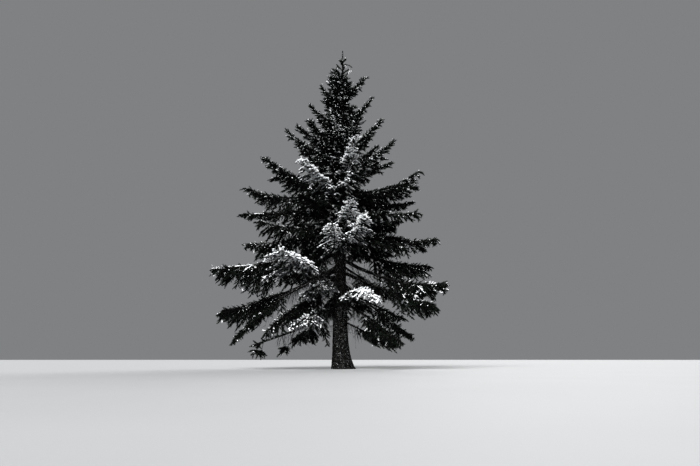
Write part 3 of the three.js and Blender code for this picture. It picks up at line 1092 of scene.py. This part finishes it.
@dataclass
class SnowCover:
    """The lumps and drifts of snow on boughs and shoots."""

    space: Space
    # How far a shoot may fall along each unit of its length and still carry a lump
    steepest: float = 0.72
    # A lump's lift over what carries it, with its share of the lump's length, its arch and its widths
    lift: Span = (0.011, 0.1)
    arch: float = 1.4
    widths: Span = (0.36, 0.16)
    end_widths: Span = (0.7, 0.5)
    # The lumps along a twig
    twig_stretch: Span = (0.1, 0.95)
    lump_every: float = 0.06
    aside: float = 0.03
    lump_sizes: Skewed = (0.045, 0.06, 2)
    lump_patches: float = 3.3
    lump_line: float = 0.35
    # The drifts along a bough
    drift_stretch: Span = (0.12, 0.9)
    before_foliage: float = 0.06
    drift_from: float = -0.1
    drift_to: Span = (0.8, 0.3)
    drift_length: float = 0.3
    drift_radius: float = 0.042
    drift_widths: Span = (0.7, 0.5)
    drift_lift: Span = (0.012, 0.7)
    drift_patches: float = 2.7
    drift_line: float = 0.3

    def __post_init__(self) -> None:
        """Makes the empty collections of lumps and drifts."""
        lump, drift = lump_pattern(), drift_pattern()
        self.lumps = {region: Strands(lump, True) for region in Region}
        self.drifts = {region: Strands(drift, True) for region in Region}

    def add_lump(self, region: Region, place: Vector, aim: Vector, size: float) -> None:
        """Adds one lump on top of wood or needles, unless they are too steep to carry it.

        Args:
            region: The region of the crown.
            place: Its middle, on what carries it.
            aim: Where its long side points.
            size: Its length.
        """
        if aim.z < -self.steepest:
            return
        half = aim * (size / 2)
        lift = Vector((0, 0, self.lift[0] + size * self.lift[1]))
        line = Line(place - half + lift, place + lift * self.arch, place + half + lift)
        if self.space.holds(line.start) and self.space.holds(line.end):
            width = size * self.space.vary(*self.widths)
            self.lumps[region].add(line, width, width * self.space.vary(*self.end_widths))

    def lay_lumps(self, axis: Axis, line: Line, lift: float) -> None:
        """Lays lumps along the top of a twig.

        Args:
            axis: The axis that it belongs to.
            line: The twig's line.
            lift: How far they lie above it.
        """
        shift = self.space.shift
        first, last = self.twig_stretch
        count = max(1, round(line.length() * (last - first) / self.lump_every))
        for share in self.space.shares(first, last, count):
            place = line.point(share) + Vector((shift(self.aside), shift(self.aside), lift))
            if noise.noise(place * self.lump_patches) + axis.bough.snow > self.lump_line:
                size = self.space.vary(*self.lump_sizes)
                self.add_lump(axis.region, place, line.tangent(share), size)

    def lay_drifts(self, axis: Axis) -> None:
        """Lays long low drifts end to end on top of a bough, with gaps where snow has slid off.

        Args:
            axis: The bough's axis.
        """
        vary, line = self.space.vary, axis.line
        first, last = self.drift_stretch
        first = max(first, axis.bough.bare - self.before_foliage)
        count = max(1, round(line.length() * (last - first) / self.drift_length))
        for i in range(count):
            start = lerp(first, last, (i + self.drift_from) / count)
            end = lerp(first, last, (i + vary(*self.drift_to)) / count)
            lift = Vector((0, 0, axis.radius(start) * self.drift_lift[1] + self.drift_lift[0]))
            near, middle, far = (line.point(share) + lift for share in (start, (start + end) / 2, end))
            is_covered = noise.noise(middle * self.drift_patches) + axis.bough.snow > self.drift_line
            if is_covered and self.space.holds(far):
                girth = self.drift_radius * vary(*self.drift_widths)
                drift = Line(near, 2 * middle - (near + far) / 2, far)
                self.drifts[axis.region].add(drift, girth, girth * vary(*self.drift_widths))

    def dress(self) -> None:
        """Builds the lumps and drifts, with their finish."""
        snow = SnowFinish().material()
        for region in Region:
            self.lumps[region].dress(f"snow_{region.value}", snow, Slot.SNOW)
            self.drifts[region].dress(f"drifts_{region.value}", snow, Slot.SNOW)


@dataclass
class DeadWood:
    """The dead twigs on the low boughs and the bare trunk."""

    space: Space
    trunk: Trunk
    radius: float = 0.0078
    girths: Span = (0.6, 0.6)
    end_girth: float = 0.25
    droops: Span = (0.15, 0.3)
    # The side twigs of a dead twig: how many on each metre, where they stand and what they measure
    side_twigs_per_metre: float = 9.0
    side_places: Span = (0.2, 0.75)
    side_lengths: Span = (0.06, 0.2)
    side_girths: Span = (0.7, 0.5)
    side_droop: float = 0.2
    # The dead twigs of a bough: from where, how closely, how far aside, how far down and how long
    bough_from: float = 0.08
    into_foliage: float = 0.12
    every: float = 0.055
    turns: Span = (20, 70)
    falls: Span = (15, 65)
    lengths: Skewed = (0.12, 0.5, 1.6)
    # The dead twigs of the trunk
    on_trunk: int = 66
    heights: Span = (1.15, 4.4)
    trunk_stray: float = 40.0
    trunk_depth: float = 0.02
    trunk_rises: Span = (10, -45)
    trunk_lengths: Skewed = (0.25, 0.75, 1.5)

    def __post_init__(self) -> None:
        """Makes the empty collections of twigs."""
        self.twigs = Strands(rod_pattern(3, 3, 0.8))
        self.side_twigs = {rimed: Strands(rod_pattern(3, 1, 0)) for rimed in (False, True)}

    def rime_at(self, place: Vector) -> float:
        """The share of side twigs that are rimed: most on the windward left."""
        return clamp(0.35 - 0.35 * place.x - 0.25 * place.y, 0.05, 0.8)

    def add_twig(self, sprout: Sprout, rime: float) -> None:
        """Adds one bare twig with a few bare side twigs.

        Args:
            sprout: How it sets off.
            rime: The share of its side twigs that are grey with rime.
        """
        draw, vary, shift = self.space.draw, self.space.vary, self.space.shift
        line = sprout.line()
        if not self.space.holds(line.end):
            return
        self.twigs.add(line, self.radius * vary(*self.girths), self.radius * self.end_girth)
        for _ in range(round(2 + sprout.length * self.side_twigs_per_metre * draw())):
            share = vary(*self.side_places)
            out = Vector((shift(1), shift(1), shift(1, 0.75))).normalized()
            aim = (line.tangent(share) * 0.8 + out).normalized()
            side = Sprout(line.point(share), aim, vary(*self.side_lengths), self.side_droop).line()
            if self.space.holds(side.end):
                radii = (self.radius * girth for girth in self.side_girths)
                self.side_twigs[draw() < rime].add(side, *radii)

    def grow_on(self, axis: Axis) -> None:
        """Grows the dead twigs that hang from the bare stretch of a bough.

        Args:
            axis: The bough's axis.
        """
        draw, vary = self.space.draw, self.space.vary
        line, last = axis.line, axis.bough.bare + self.into_foliage
        count = round(line.length() * last / self.every)
        for share in self.space.shares(self.bough_from, last, count):
            side = 1 if draw() < 0.5 else -1
            heading = heading_of(line.tangent(share)) + side * vary(*self.turns)
            aim = direction(heading, -vary(*self.falls))
            root = line.point(share)
            length = vary(*self.lengths)
            self.add_twig(Sprout(root, aim, length, vary(*self.droops)), self.rime_at(root))

    def grow_on_trunk(self) -> None:
        """Grows the dead twigs that are left on the bare trunk."""
        vary = self.space.vary
        for i, height in enumerate(self.space.shares(*self.heights, self.on_trunk)):
            heading = i * GOLDEN_TURN + vary(0, self.trunk_stray)
            inside = self.trunk.radius(height, heading) - self.trunk_depth
            root = self.trunk.centre(height) + direction(heading, 0) * inside
            aim = direction(heading, vary(*self.trunk_rises))
            length = vary(*self.trunk_lengths)
            self.add_twig(Sprout(root, aim, length, vary(*self.droops)), self.rime_at(root + aim))

    def dress(self, twig_bark: Material) -> None:
        """Builds the dead twigs, with their finishes.

        Args:
            twig_bark: The finish of those that aren't rimed.
        """
        self.twigs.dress("dead_twigs", twig_bark, Slot.BARK)
        self.side_twigs[False].dress("dead_side_twigs", twig_bark, Slot.BARK)
        self.side_twigs[True].dress("dead_side_twigs_rimed", RIMED_BARK.material(), Slot.BARK)


@dataclass
class Crown:
    """The living boughs, with their twigs, shoots and needles."""

    space: Space
    trunk: Trunk
    snow: SnowCover
    dead_wood: DeadWood
    # The spread of foliage to the side of a bough, its angles and the side boughs, as in the source
    spread_least: float = 0.26
    spread_share: float = 0.27
    spread_most: float = 1.25
    side_angle: Span = (66, 36)
    dip_angle: Span = (46, 8)
    fork_turns: tuple[float, ...] = (54, -54, 118, -118)
    fork_reach: float = 0.78
    fork_reaches: Span = (0.9, 0.2)
    fork_start: float = 0.06
    # The shares of a bough's rime and snow that its side boughs have
    fork_rime: float = 0.4
    fork_snow: float = 0.3
    # How much thicker a low limb is at the trunk than its solid, with its bark and lichen
    limb_bark: float = 1.4
    # The twigs along a bough: the last one, how they bunch outwards, how far they stray and their lengths
    last_twig: float = 0.985
    outward: float = 0.88
    turn_stray: float = 14.0
    rise_stray: float = 16.0
    twig_lengths: Span = (0.62, 0.5)
    least_twig: float = 0.12
    widest_share: float = 0.55
    narrow_from: float = 0.72
    narrowing: float = 0.5
    # Those that hang like a comb: how far they turn aside, how far they dip, and their length
    comb_turn: float = 0.45
    comb_dip: Span = (74, 40)
    comb_length: float = 0.76
    # The short shoots on a bough's upper side
    last_ridge: float = 0.97
    ridge_every: float = 0.075
    ridge_lean: float = 1.6
    ridge_rises: Span = (0.2, 0.9)
    ridge_lengths: Span = (0.06, 0.09)
    # The sprays along a twig
    twig_radius: float = 0.011
    twig_end_radius: float = 0.019
    shortest_twig: float = 0.15
    shortening: float = 0.8
    spray_every: float = 0.085
    spray_places: Span = (0.3, 0.5)
    spray_angle: Span = (58, 40)
    angle_stray: float = 16.0
    spray_fall: float = 0.32
    fall_stray: float = 0.3
    spray_length: float = 0.09
    spray_per_twig: float = 0.27
    spray_sizes: Span = (0.75, 0.5)
    longest_spray: float = 0.26
    # The last spray of a twig: where it starts, and its share of the twig's length and droop
    end_from: float = 0.55
    end_length: float = 0.45
    end_droop: float = 0.3
    # The shoots along a spray, coarser near the trunk and as fine as the leader's above its foot
    shoot_radius: float = 0.023
    shoot_step: float = 0.076
    shoot_length: float = 0.12
    shoot_sizes: Span = (0.8, 0.4)
    shoot_bend: Span = (0.12, 0.6)
    splay: float = 0.36
    shoot_stray: float = 0.3
    needle_girth: float = 1.1
    girths: Span = (0.85, 0.3)
    coarser_inside: float = 0.4
    inside_reach: float = 1.1
    leader_from: float = 10.7
    dark_share: float = 0.62
    # Rime: its share of the wood, its patches, where it starts, how white it is above, and how that fades
    rimed_wood: float = 0.25
    rime_patches: float = 2.3
    rime_from: float = 0.22
    white_above: float = 0.9
    white_fall: float = 4.5
    # Snow on shoots: how far below its bough a twig counts as on top, how often it lies there, its lumps
    snow_depth: float = 0.16
    dotted_above: float = 0.95
    dotted_on_top: float = 0.6
    dotted_below: Span = (0.08, 0.4)
    lump_size: float = 0.03
    plain_hoar: float = 0.24
    tipped: float = 0.12
    tipped_high: float = 0.32
    tip_lumps: Span = (0.036, 0.024)
    # Short twigs that leave the trunk between the boughs
    inner_heights: Span = (4.3, 10.9)
    inner_every: float = 0.105
    inner_gaps: Span = (0.6, 0.8)
    upper_gap: float = 0.72
    inner_stray: float = 30.0
    inner_share: float = 0.15
    inner_reaches: Span = (0.6, 0.7)
    inner_rises: Span = (0.05, 0.65)
    inner_bare: float = 0.12
    inner_rime: Span = (0.1, 0.22)
    inner_snow: Span = (0.06, 0.1)
    upper_from: float = 6.6
    # The tufts on the dying bough
    tuft_girth: float = 1.3
    tuft_sprays: int = 13
    tuft_places: Span = (0.8, 0.2)
    tuft_droop: float = 0.35
    tuft_lengths: Span = (0.12, 0.22)
    tuft_rises: Span = (12, -42)

    def __post_init__(self) -> None:
        """Makes the empty collections of boughs, twigs, shoots and needles."""
        needles = NeedlePattern().build()
        stem, twig, shoot = rod_pattern(6, 9, 1, 0.32), rod_pattern(3, 3, 0.8), rod_pattern(3, 1, 0)
        self.low_limbs = Strands(rod_pattern(8, 22, 1, 0.32), True)
        self.limbs = {region: Strands(stem, True) for region in Region}
        self.twigs = {region: Strands(twig) for region in Region}
        self.shoots = {(region, rimed): Strands(shoot) for region in Region for rimed in (False, True)}
        self.needles = {(region, tone): Strands(needles) for region in Region for tone in Tone}
        self.nodes: dict[Region, list[str]] = {region: [] for region in Region}

    def spread(self, reach: float, share: float) -> float:
        """How far foliage spreads to a bough's side, from 0 where it starts to 1 at the tip."""
        most = min(self.spread_least + self.spread_share * reach, self.spread_most)
        return most * min(1, 0.55 + 2.4 * share) * (1 - 0.62 * share)

    def axes(self, bough: Bough, region: Region) -> Iterator[Axis]:
        """The lines of a bough and its side boughs.

        Args:
            bough: The bough.
            region: Its region.

        Yields:
            The bough's own axis, then one for each side bough.
        """
        end = direction(bough.heading, 0) * bough.reach
        end.z = bough.tip
        main = Line.arched(self.trunk.centre(bough.foot), end, bough.waist)
        yield Axis(main, bough.reach, bough, region)
        sheltered = replace(bough, rime=bough.rime * self.fork_rime, snow=bough.snow * self.fork_snow)
        draw = seeded_random(round(bough.foot * 1000))
        start = self.trunk.radius(bough.foot, bough.heading) + self.fork_start
        joint = main.point(start / bough.reach)
        least, more = self.fork_reaches
        for turn in self.fork_turns[: bough.forks]:
            reach = bough.reach * self.fork_reach * (least + more * draw())
            tip = joint + direction(bough.heading + turn, 0) * reach
            tip.z += (bough.tip - bough.foot) * self.fork_reach
            waist = joint.z + (bough.waist - bough.foot) * self.fork_reach
            yield Axis(Line.arched(joint, tip, waist), reach, sheltered, region)

    def rime_at(self, bough: Bough, place: Vector) -> float:
        """The chance that a shoot is rimed: in patches, and only well out from the trunk.

        Args:
            bough: The bough that it belongs to.
            place: Where it is.

        Returns:
            A share from 0 to 1.
        """
        out = math.hypot(place.x, place.y) / bough.reach
        patch = 0.5 + 0.8 * noise.noise(place * self.rime_patches)
        chance = (patch - (1 - bough.rime)) * 4 + 0.5
        exposed = min(bough.rime * 12, 1) * clamp((out - self.rime_from) * 5)
        return clamp(chance, 0.02, 0.95) * exposed

    def rimed_tone(self, bough: Bough, rime: float, drop: float, chance: float) -> Tone | None:
        """The tone that rime gives one shoot: white above, grey where it hangs.

        Args:
            bough: The bough that it belongs to.
            rime: The chance that it is rimed.
            drop: How far it hangs below the bough.
            chance: The number from 0 to 1 that decides, for its whole spray.

        Returns:
            The tone, or None where it has no rime.
        """
        level = clamp(chance + self.space.shift(0.2))
        white = clamp(self.white_above - self.white_fall * drop, 0.05, 0.8) * min(0.5 + bough.snow, 1)
        if level < rime * white:
            return Tone.WHITE
        if level < rime * (white + bough.hoar * (1 - white)):
            return Tone.RIMED
        return None

    def add_shoot(self, region: Region, root: Vector, aim: Vector, length: float, tone: Tone) -> None:
        """Adds the needles of one shoot, unless it would leave the crown's reach.

        Args:
            region: The region of the crown.
            root: Where it starts.
            aim: Where it points.
            length: Its length.
            tone: The colour of its needles.
        """
        line = Sprout(root, aim, length, self.space.shift(*self.shoot_bend)).line()
        if self.space.holds(line.end):
            girth = length * self.needle_girth * self.space.vary(*self.girths)
            self.needles[region, tone].add(line, girth, girth, self.space.vary(0, 2 * math.pi))

    def grow_spray(self, axis: Axis, sprout: Sprout, top: float | None = None) -> None:
        """Grows the end of a twig: a line of shoots, turned to either side.

        Args:
            axis: The axis that it belongs to.
            sprout: How it sets off.
            top: The height of the bough above it, where it hangs from one.
        """
        draw, vary, shift = self.space.draw, self.space.vary, self.space.shift
        line, root, bough = sprout.line(), sprout.root, axis.bough
        if not self.space.holds(line.end):
            return
        rime = self.rime_at(bough, line.end)
        chance = draw()
        plain = Tone.DARK if draw() < self.dark_share else Tone.GREEN
        depth = 0 if root.z > self.leader_from else max(1 - math.hypot(root.x, root.y) / self.inside_reach, 0)
        scale = 1 + self.coarser_inside * depth
        radius = self.shoot_radius * scale * vary(*self.shoot_sizes)
        self.shoots[axis.region, chance < rime * self.rimed_wood].add(line, radius, radius)
        dotted = self.dotted_below[0] + self.dotted_below[1] * bough.hoar
        if top is None:
            dotted = self.dotted_above
        elif line.point(0.5).z > top - self.snow_depth:
            dotted = self.dotted_on_top
        lump = self.lump_size * (1 + max(bough.hoar - self.plain_hoar, 0))
        count = max(1, round(sprout.length / (self.shoot_step * scale)))
        for i in range(count):
            share = i / count
            shoot = self.shoot_length * scale * vary(*self.shoot_sizes)
            tangent = line.tangent(share)
            level = across(tangent) * (self.splay if i % 2 else -self.splay)
            place = line.point(share)
            turned = Vector((shift(1), shift(1), shift(1))) * self.shoot_stray
            out = (tangent + level + turned).normalized()
            drop = 0 if top is None else max(top - place.z, 0)
            tone = self.rimed_tone(bough, rime, drop, chance) or plain
            self.add_shoot(axis.region, place, out, shoot, tone)
            if draw() < rime * dotted:
                self.snow.add_lump(axis.region, place + out * (shoot * 0.8), out, lump * vary(1, 1))
        if draw() < (self.tipped_high if axis.region is Region.UPPER else self.tipped):
            tip = line.end + 0.02 * line.tangent(1)
            self.snow.add_lump(axis.region, tip, line.tangent(1), vary(*self.tip_lumps))

    def grow_twig(self, axis: Axis, sprout: Sprout) -> None:
        """Grows a side twig with sprays along both its sides.

        Args:
            axis: The axis that it belongs to.
            sprout: How it sets off.
        """
        draw, vary, shift = self.space.draw, self.space.vary, self.space.shift
        while sprout.length > self.shortest_twig and not self.space.holds(sprout.line().end):
            sprout = replace(sprout, length=sprout.length * self.shortening)
        line, length, droop, top = sprout.line(), sprout.length, sprout.droop, sprout.root.z
        if not self.space.holds(line.end):
            return
        self.twigs[axis.region].add(line, self.twig_radius * (0.6 + 0.5 * length), self.twig_end_radius)
        count = max(2, round(length / self.spray_every))
        for i in range(count):
            share = (i + vary(*self.spray_places)) / count
            side = 1 if i % 2 else -1
            tangent = line.tangent(share)
            level = across(tangent)
            level = level.normalized() if level.length > 0.05 else direction(vary(0, 360), 0)
            angle = math.radians(lerp(*self.spray_angle, share) + shift(self.angle_stray))
            out = tangent * math.cos(angle) + level * (side * math.sin(angle))
            out.z -= self.spray_fall * droop + shift(self.fall_stray)
            size = self.spray_length + self.spray_per_twig * length * (1 - share)
            size = min(size * vary(*self.spray_sizes), self.longest_spray)
            self.grow_spray(axis, Sprout(line.point(share), out.normalized(), size, droop), top)
        size, droop = length * self.end_length, droop * self.end_droop
        self.grow_spray(axis, Sprout(line.point(self.end_from), line.tangent(0.8), size, droop), top)
        if draw() < axis.bough.rime * 0.45 and sprout.aim.z > -0.45:
            self.snow.lay_lumps(axis, line, vary(0.016, 0.012))

    def grow_axis(self, axis: Axis) -> None:
        """Grows all that a bough or side bough carries.

        Args:
            axis: The axis.
        """
        draw, vary, shift = self.space.draw, self.space.vary, self.space.shift
        line, bough, habit = axis.line, axis.bough, HABITS[axis.region]
        hang = min(bough.hang, 1)
        count = max(4, round(line.length() * (1 - bough.bare) / habit.every))
        for i in range(count):
            share = ((i + vary(0.2, 0.6)) / count) ** self.outward
            if bough.gap[0] < share < bough.gap[1]:
                continue
            at = lerp(bough.bare, self.last_twig, share)
            tangent = line.tangent(at)
            is_comb = draw() < habit.comb * bough.hang
            dip = lerp(*self.comb_dip, share) if is_comb else lerp(*self.dip_angle, share) * habit.dip * hang
            turn = lerp(*self.side_angle, share) * (self.comb_turn if is_comb else 1)
            heading = heading_of(tangent) + (turn if i % 2 else -turn) + shift(self.turn_stray)
            elevation = math.degrees(math.asin(tangent.z)) * share - dip + shift(self.rise_stray)
            narrowed = 1 - self.narrowing * max(share - self.narrow_from, 0) / (1 - self.narrow_from)
            spread = self.spread(axis.reach, share) * habit.spread * bough.full
            length = min(spread, axis.reach * self.widest_share) * narrowed * vary(*self.twig_lengths)
            if is_comb:
                length *= self.comb_length * bough.hang
            length, aim = max(length, self.least_twig), direction(heading, elevation)
            self.grow_twig(axis, Sprout(line.point(at), aim, length, habit.droop * hang))
        self.grow_ridge(axis)
        self.grow_spray(axis, Sprout(line.point(0.9), line.tangent(0.97), line.length() * 0.1 - 0.05))

    def grow_ridge(self, axis: Axis) -> None:
        """Grows the short shoots that stand on a bough's upper side, and lays its snow.

        Args:
            axis: The axis.
        """
        draw, vary = self.space.draw, self.space.vary
        line, bare = axis.line, axis.bough.bare
        count = round(line.length() * (1 - bare) / self.ridge_every)
        for at in self.space.shares(bare, self.last_ridge, count):
            tangent = line.tangent(at)
            lean = across(tangent).normalized() * self.space.shift(self.ridge_lean)
            aim = (tangent + lean + Vector((0, 0, vary(*self.ridge_rises)))).normalized()
            self.grow_spray(axis, Sprout(line.point(at), aim, vary(*self.ridge_lengths)))
        if draw() < axis.bough.snow * 1.4:
            self.snow.lay_drifts(axis)

    def grow_tufts(self, axis: Axis) -> None:
        """Grows the last living tufts that hang from a dying bough on bare twigs.

        Args:
            axis: The bough's axis.
        """
        draw, vary = self.space.draw, self.space.vary
        for share, drop, lean in HANGING_TUFTS:
            aim = (axis.line.tangent(share) * lean + Vector((0, 0, -1))).normalized()
            twig = Sprout(axis.line.point(share), aim, drop, 0.05).line()
            self.dead_wood.twigs.add(twig, self.dead_wood.radius * self.tuft_girth, self.dead_wood.radius)
            for i in range(self.tuft_sprays):
                heading = i * GOLDEN_TURN + vary(0, 20)
                out = direction(heading, lerp(*self.tuft_rises, draw()))
                length = lerp(*self.tuft_lengths, draw())
                root = twig.point(vary(*self.tuft_places))
                self.grow_spray(axis, Sprout(root, out, length, self.tuft_droop))

    def grow_inner_twigs(self) -> None:
        """Grows the short twigs that leave the trunk between the boughs, each from its own place."""
        first, last = self.inner_heights
        height, number = first, 0
        while height < last:
            heading = number * GOLDEN_TURN + self.space.shift(self.inner_stray)
            reach = (self.trunk.height - height) * self.inner_share * self.space.vary(*self.inner_reaches)
            rise = lerp(*self.inner_rises, (height - first) / (last - first)) * reach
            is_upper = height >= self.upper_from
            region = Region.UPPER if is_upper else Region.MIDDLE
            windward = max(-direction(heading, 0).y, 0)
            rime, snow = (least + more * windward for least, more in (self.inner_rime, self.inner_snow))
            waist, tip = height + rise * 0.45, height + rise
            bough = Bough(heading, height, reach, waist, tip, self.inner_bare, rime=rime, snow=snow)
            for axis in self.axes(bough, region):
                self.limbs[region].add(axis.line, axis.radius(0) * 0.7, axis.radius(1), self.space.draw())
                self.grow_axis(axis)
            closer = self.upper_gap if is_upper else 1
            height += self.inner_every * closer * self.space.vary(*self.inner_gaps)
            number += 1

    def grow(self) -> None:
        """Grows every bough with its foliage, in the order of the source, then what stands between them."""
        number = 0
        for prefix, boughs in (("foliage_", LOW_BOUGHS), ("crown_", LEAFY_BOUGHS), ("", SHORT_BOUGHS)):
            for name, bough in boughs.items():
                region = Region.of(name)
                self.space.reseed(1000 + number)
                if prefix:
                    self.nodes[region].append(prefix + name)
                limbs = self.low_limbs if boughs is LOW_BOUGHS else self.limbs[region]
                bark = self.limb_bark if boughs is LOW_BOUGHS else 1
                for axis in self.axes(bough, region):
                    limbs.add(axis.line, axis.radius(0) * bark, axis.radius(1), self.space.draw())
                    self.grow_axis(axis)
                    if region in (Region.LEFT, Region.RIGHT, Region.INNER):
                        self.dead_wood.grow_on(axis)
                    if name == DYING_BOUGH:
                        self.grow_tufts(axis)
                number += 1
        self.space.reseed(number)
        self.grow_inner_twigs()

    def dress(self, bark: Material, twig_bark: Material) -> None:
        """Builds the boughs, twigs, shoots and needles, with their finishes.

        Args:
            bark: The finish of the boughs.
            twig_bark: The finish of the twigs.
        """
        needles = {tone: finish.material() for tone, finish in NEEDLE_FINISHES.items()}
        self.low_limbs.dress("low_boughs", bark, Slot.BARK, [f"bough_{name}" for name in LOW_BOUGHS])
        for region, nodes in self.nodes.items():
            place = region.value
            self.limbs[region].dress(f"stems_{place}", bark, Slot.BARK, nodes)
            self.twigs[region].dress(f"twigs_{place}", twig_bark, Slot.BARK, nodes)
            self.shoots[region, False].dress(f"shoots_{place}", twig_bark, Slot.BARK, nodes)
            rimed = self.shoots[region, True]
            rimed.dress(f"shoots_{place}_rimed", needles[Tone.RIMED], Slot.NEEDLES, nodes)
            for tone, finish in needles.items():
                self.needles[region, tone].dress(f"needles_{place}_{tone.value}", finish, Slot.NEEDLES, nodes)


@dataclass
class Leader:
    """The trunk's last upright stretch, with its needles, its side shoots and a bent one."""

    crown: Crown
    # What weather has left on it
    bough: Bough = Bough(0, 11, 0.3, 11.2, 11.4, 0, rime=0.06, snow=0.3)
    # The needles round the stem: their heights, how closely they stand, how far they stray and their lengths
    needle_heights: Span = (10.5, 11.9)
    needle_step: float = 0.045
    stray: float = 0.25
    needle_lengths: Span = (0.14, 0.1)
    # The side shoots: their radii, how far they rise at their ends, and the sprays on them
    shoot_radii: Span = (0.006, 0.003)
    upturn: float = -0.06
    spray_places: tuple[float, ...] = (0.35, 0.6)
    spray_lengths: Span = (0.1, 0.05)
    spray_droop: float = -0.05
    # The bare tip and the lump of snow on it
    tip_from: float = 10.9
    tip_waist: float = 11.475
    tip_top: float = 12.05
    tip_radii: Span = (0.03, 0.016)
    cap_height: float = 12.02
    cap_size: float = 0.045
    # The bent shoot, from its foot over its bend to its tip
    bent_foot: float = 11.42
    bent_middle: tuple[float, float, float] = (0.24, -0.02, 0.03)
    bent_tip: tuple[float, float, float] = (0.35, -0.03, -0.13)
    bent_radii: Span = (0.016, 0.013)
    bent_places: tuple[float, ...] = (0.3, 0.6, 0.85)
    bent_needles: float = 0.09

    def grow_needles(self) -> None:
        """Grows the needles round the stem."""
        shift = self.crown.space.shift
        first, last = self.needle_heights
        height = first
        while height < last:
            aim = Vector((shift(self.stray), shift(self.stray), 1)).normalized()
            length = lerp(*self.needle_lengths, (height - first) / (last - first))
            self.crown.add_shoot(Region.UPPER, self.crown.trunk.centre(height), aim, length, Tone.DARK)
            height += self.needle_step

    def grow_shoots(self) -> None:
        """Grows the side shoots, each with three sprays."""
        crown, shift, vary = self.crown, self.crown.space.shift, self.crown.space.vary
        for height, heading, elevation, length in LEADER_SHOOTS:
            shoot = Sprout(crown.trunk.centre(height), direction(heading, elevation), length, self.upturn)
            line = shoot.line()
            axis = Axis(line, length, self.bough, Region.UPPER)
            crown.limbs[Region.UPPER].add(line, *self.shoot_radii)
            crown.grow_spray(axis, shoot)
            for share in self.spray_places:
                turned = shoot.aim + Vector((shift(1), shift(1), vary(0, 0.3))) * 1.3
                place, size = line.point(share), vary(*self.spray_lengths)
                crown.grow_spray(axis, Sprout(place, turned.normalized(), size, self.spray_droop))

    def grow_tip(self) -> None:
        """Grows the bare tip with its lump of snow, and the bent shoot beside it."""
        crown, centre = self.crown, self.crown.trunk.centre
        tip = Line.arched(centre(self.tip_from), centre(self.tip_top), self.tip_waist)
        crown.limbs[Region.UPPER].add(tip, *self.tip_radii)
        foot = centre(self.bent_foot)
        bent = Line(foot, foot + Vector(self.bent_middle), foot + Vector(self.bent_tip))
        crown.limbs[Region.UPPER].add(bent, *self.bent_radii)
        for share in self.bent_places:
            place, along = bent.point(share), bent.tangent(share)
            crown.add_shoot(Region.UPPER, place, along, self.bent_needles, Tone.DARK)
        crown.snow.add_lump(Region.UPPER, centre(self.cap_height), Vector((1, 0, 0)), self.cap_size)

    def grow(self) -> None:
        """Grows the whole leader."""
        self.grow_needles()
        self.grow_shoots()
        self.grow_tip()


# The studio


@dataclass(frozen=True)
class Studio:
    """The pale floor, the soft light and the camera at the photograph's viewing angle."""

    floor_radius: float = 400.0
    floor_sides: int = 64
    camera_place: tuple[float, float, float] = (0.29, -15.9, 0.3)
    camera_pitch: float = 15.16
    focal_length: float = 24.0
    sensor_width: float = 36.0
    farthest: float = 1000.0
    backdrop: Colour = (0.206, 0.209, 0.213)
    light_angle: float = 40.0
    key_strength: float = 4.7
    key_turn: tuple[float, float, float] = (50.0, 8.0, -32.0)
    fill_strength: float = 1.6
    fill_turn: tuple[float, float, float] = (58.0, 0.0, 155.0)

    def build(self) -> None:
        """Makes the floor, the light and the camera."""
        self._floor()
        self._backdrop()
        self._light("key", self.key_strength, self.key_turn)
        self._light("fill", self.fill_strength, self.fill_turn)
        self._camera()

    def _floor(self) -> None:
        """Makes the floor."""
        bm = bmesh.new()
        bmesh.ops.create_circle(bm, cap_ends=True, segments=self.floor_sides, radius=self.floor_radius)
        mesh = bpy.data.meshes.new("floor")
        bm.to_mesh(mesh)
        bm.free()
        mesh.materials.append(FloorFinish().material())
        linked("floor", mesh)

    def _backdrop(self) -> None:
        """Makes the even backdrop."""
        world = bpy.data.worlds.new("studio")
        world.use_nodes = True
        world.node_tree.nodes["Background"].inputs["Color"].default_value = (*self.backdrop, 1)
        bpy.context.scene.world = world

    def _light(self, name: str, strength: float, turn: tuple[float, float, float]) -> None:
        """Makes one broad soft light.

        Args:
            name: Its name.
            strength: How bright it is.
            turn: How it is turned from straight down, in degrees.
        """
        light = bpy.data.lights.new(name, "SUN")
        light.energy = strength
        light.angle = math.radians(self.light_angle)
        linked(name, light).rotation_euler = tuple(math.radians(angle) for angle in turn)

    def _camera(self) -> None:
        """Makes the camera, and gives the picture the photograph's hard tones."""
        data = bpy.data.cameras.new("camera")
        data.lens = self.focal_length
        data.sensor_width = self.sensor_width
        data.clip_end = self.farthest
        camera = linked("camera", data)
        camera.location = self.camera_place
        camera.rotation_euler = (math.radians(90 + self.camera_pitch), 0, 0)
        scene = bpy.context.scene
        scene.camera = camera
        scene.view_settings.view_transform = "Standard"
        scene.view_settings.look = "High Contrast"


def main() -> None:
    logging.basicConfig(level=logging.INFO, format="%(name)s: %(message)s")
    bark, twig_bark = BarkFinish().material(), TWIG_BARK.material()
    trunk = Trunk()
    trunk.dress(trunk.build(), bark)
    space = Space(CAD_LOW, CAD_HIGH)
    snow = SnowCover(space)
    dead_wood = DeadWood(space, trunk)
    crown = Crown(space, trunk, snow, dead_wood)
    crown.grow()
    dead_wood.grow_on_trunk()
    Leader(crown).grow()
    crown.dress(bark, twig_bark)
    dead_wood.dress(twig_bark)
    snow.dress()
    Studio().build()
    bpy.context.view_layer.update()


if __name__ == "__main__":
    main()
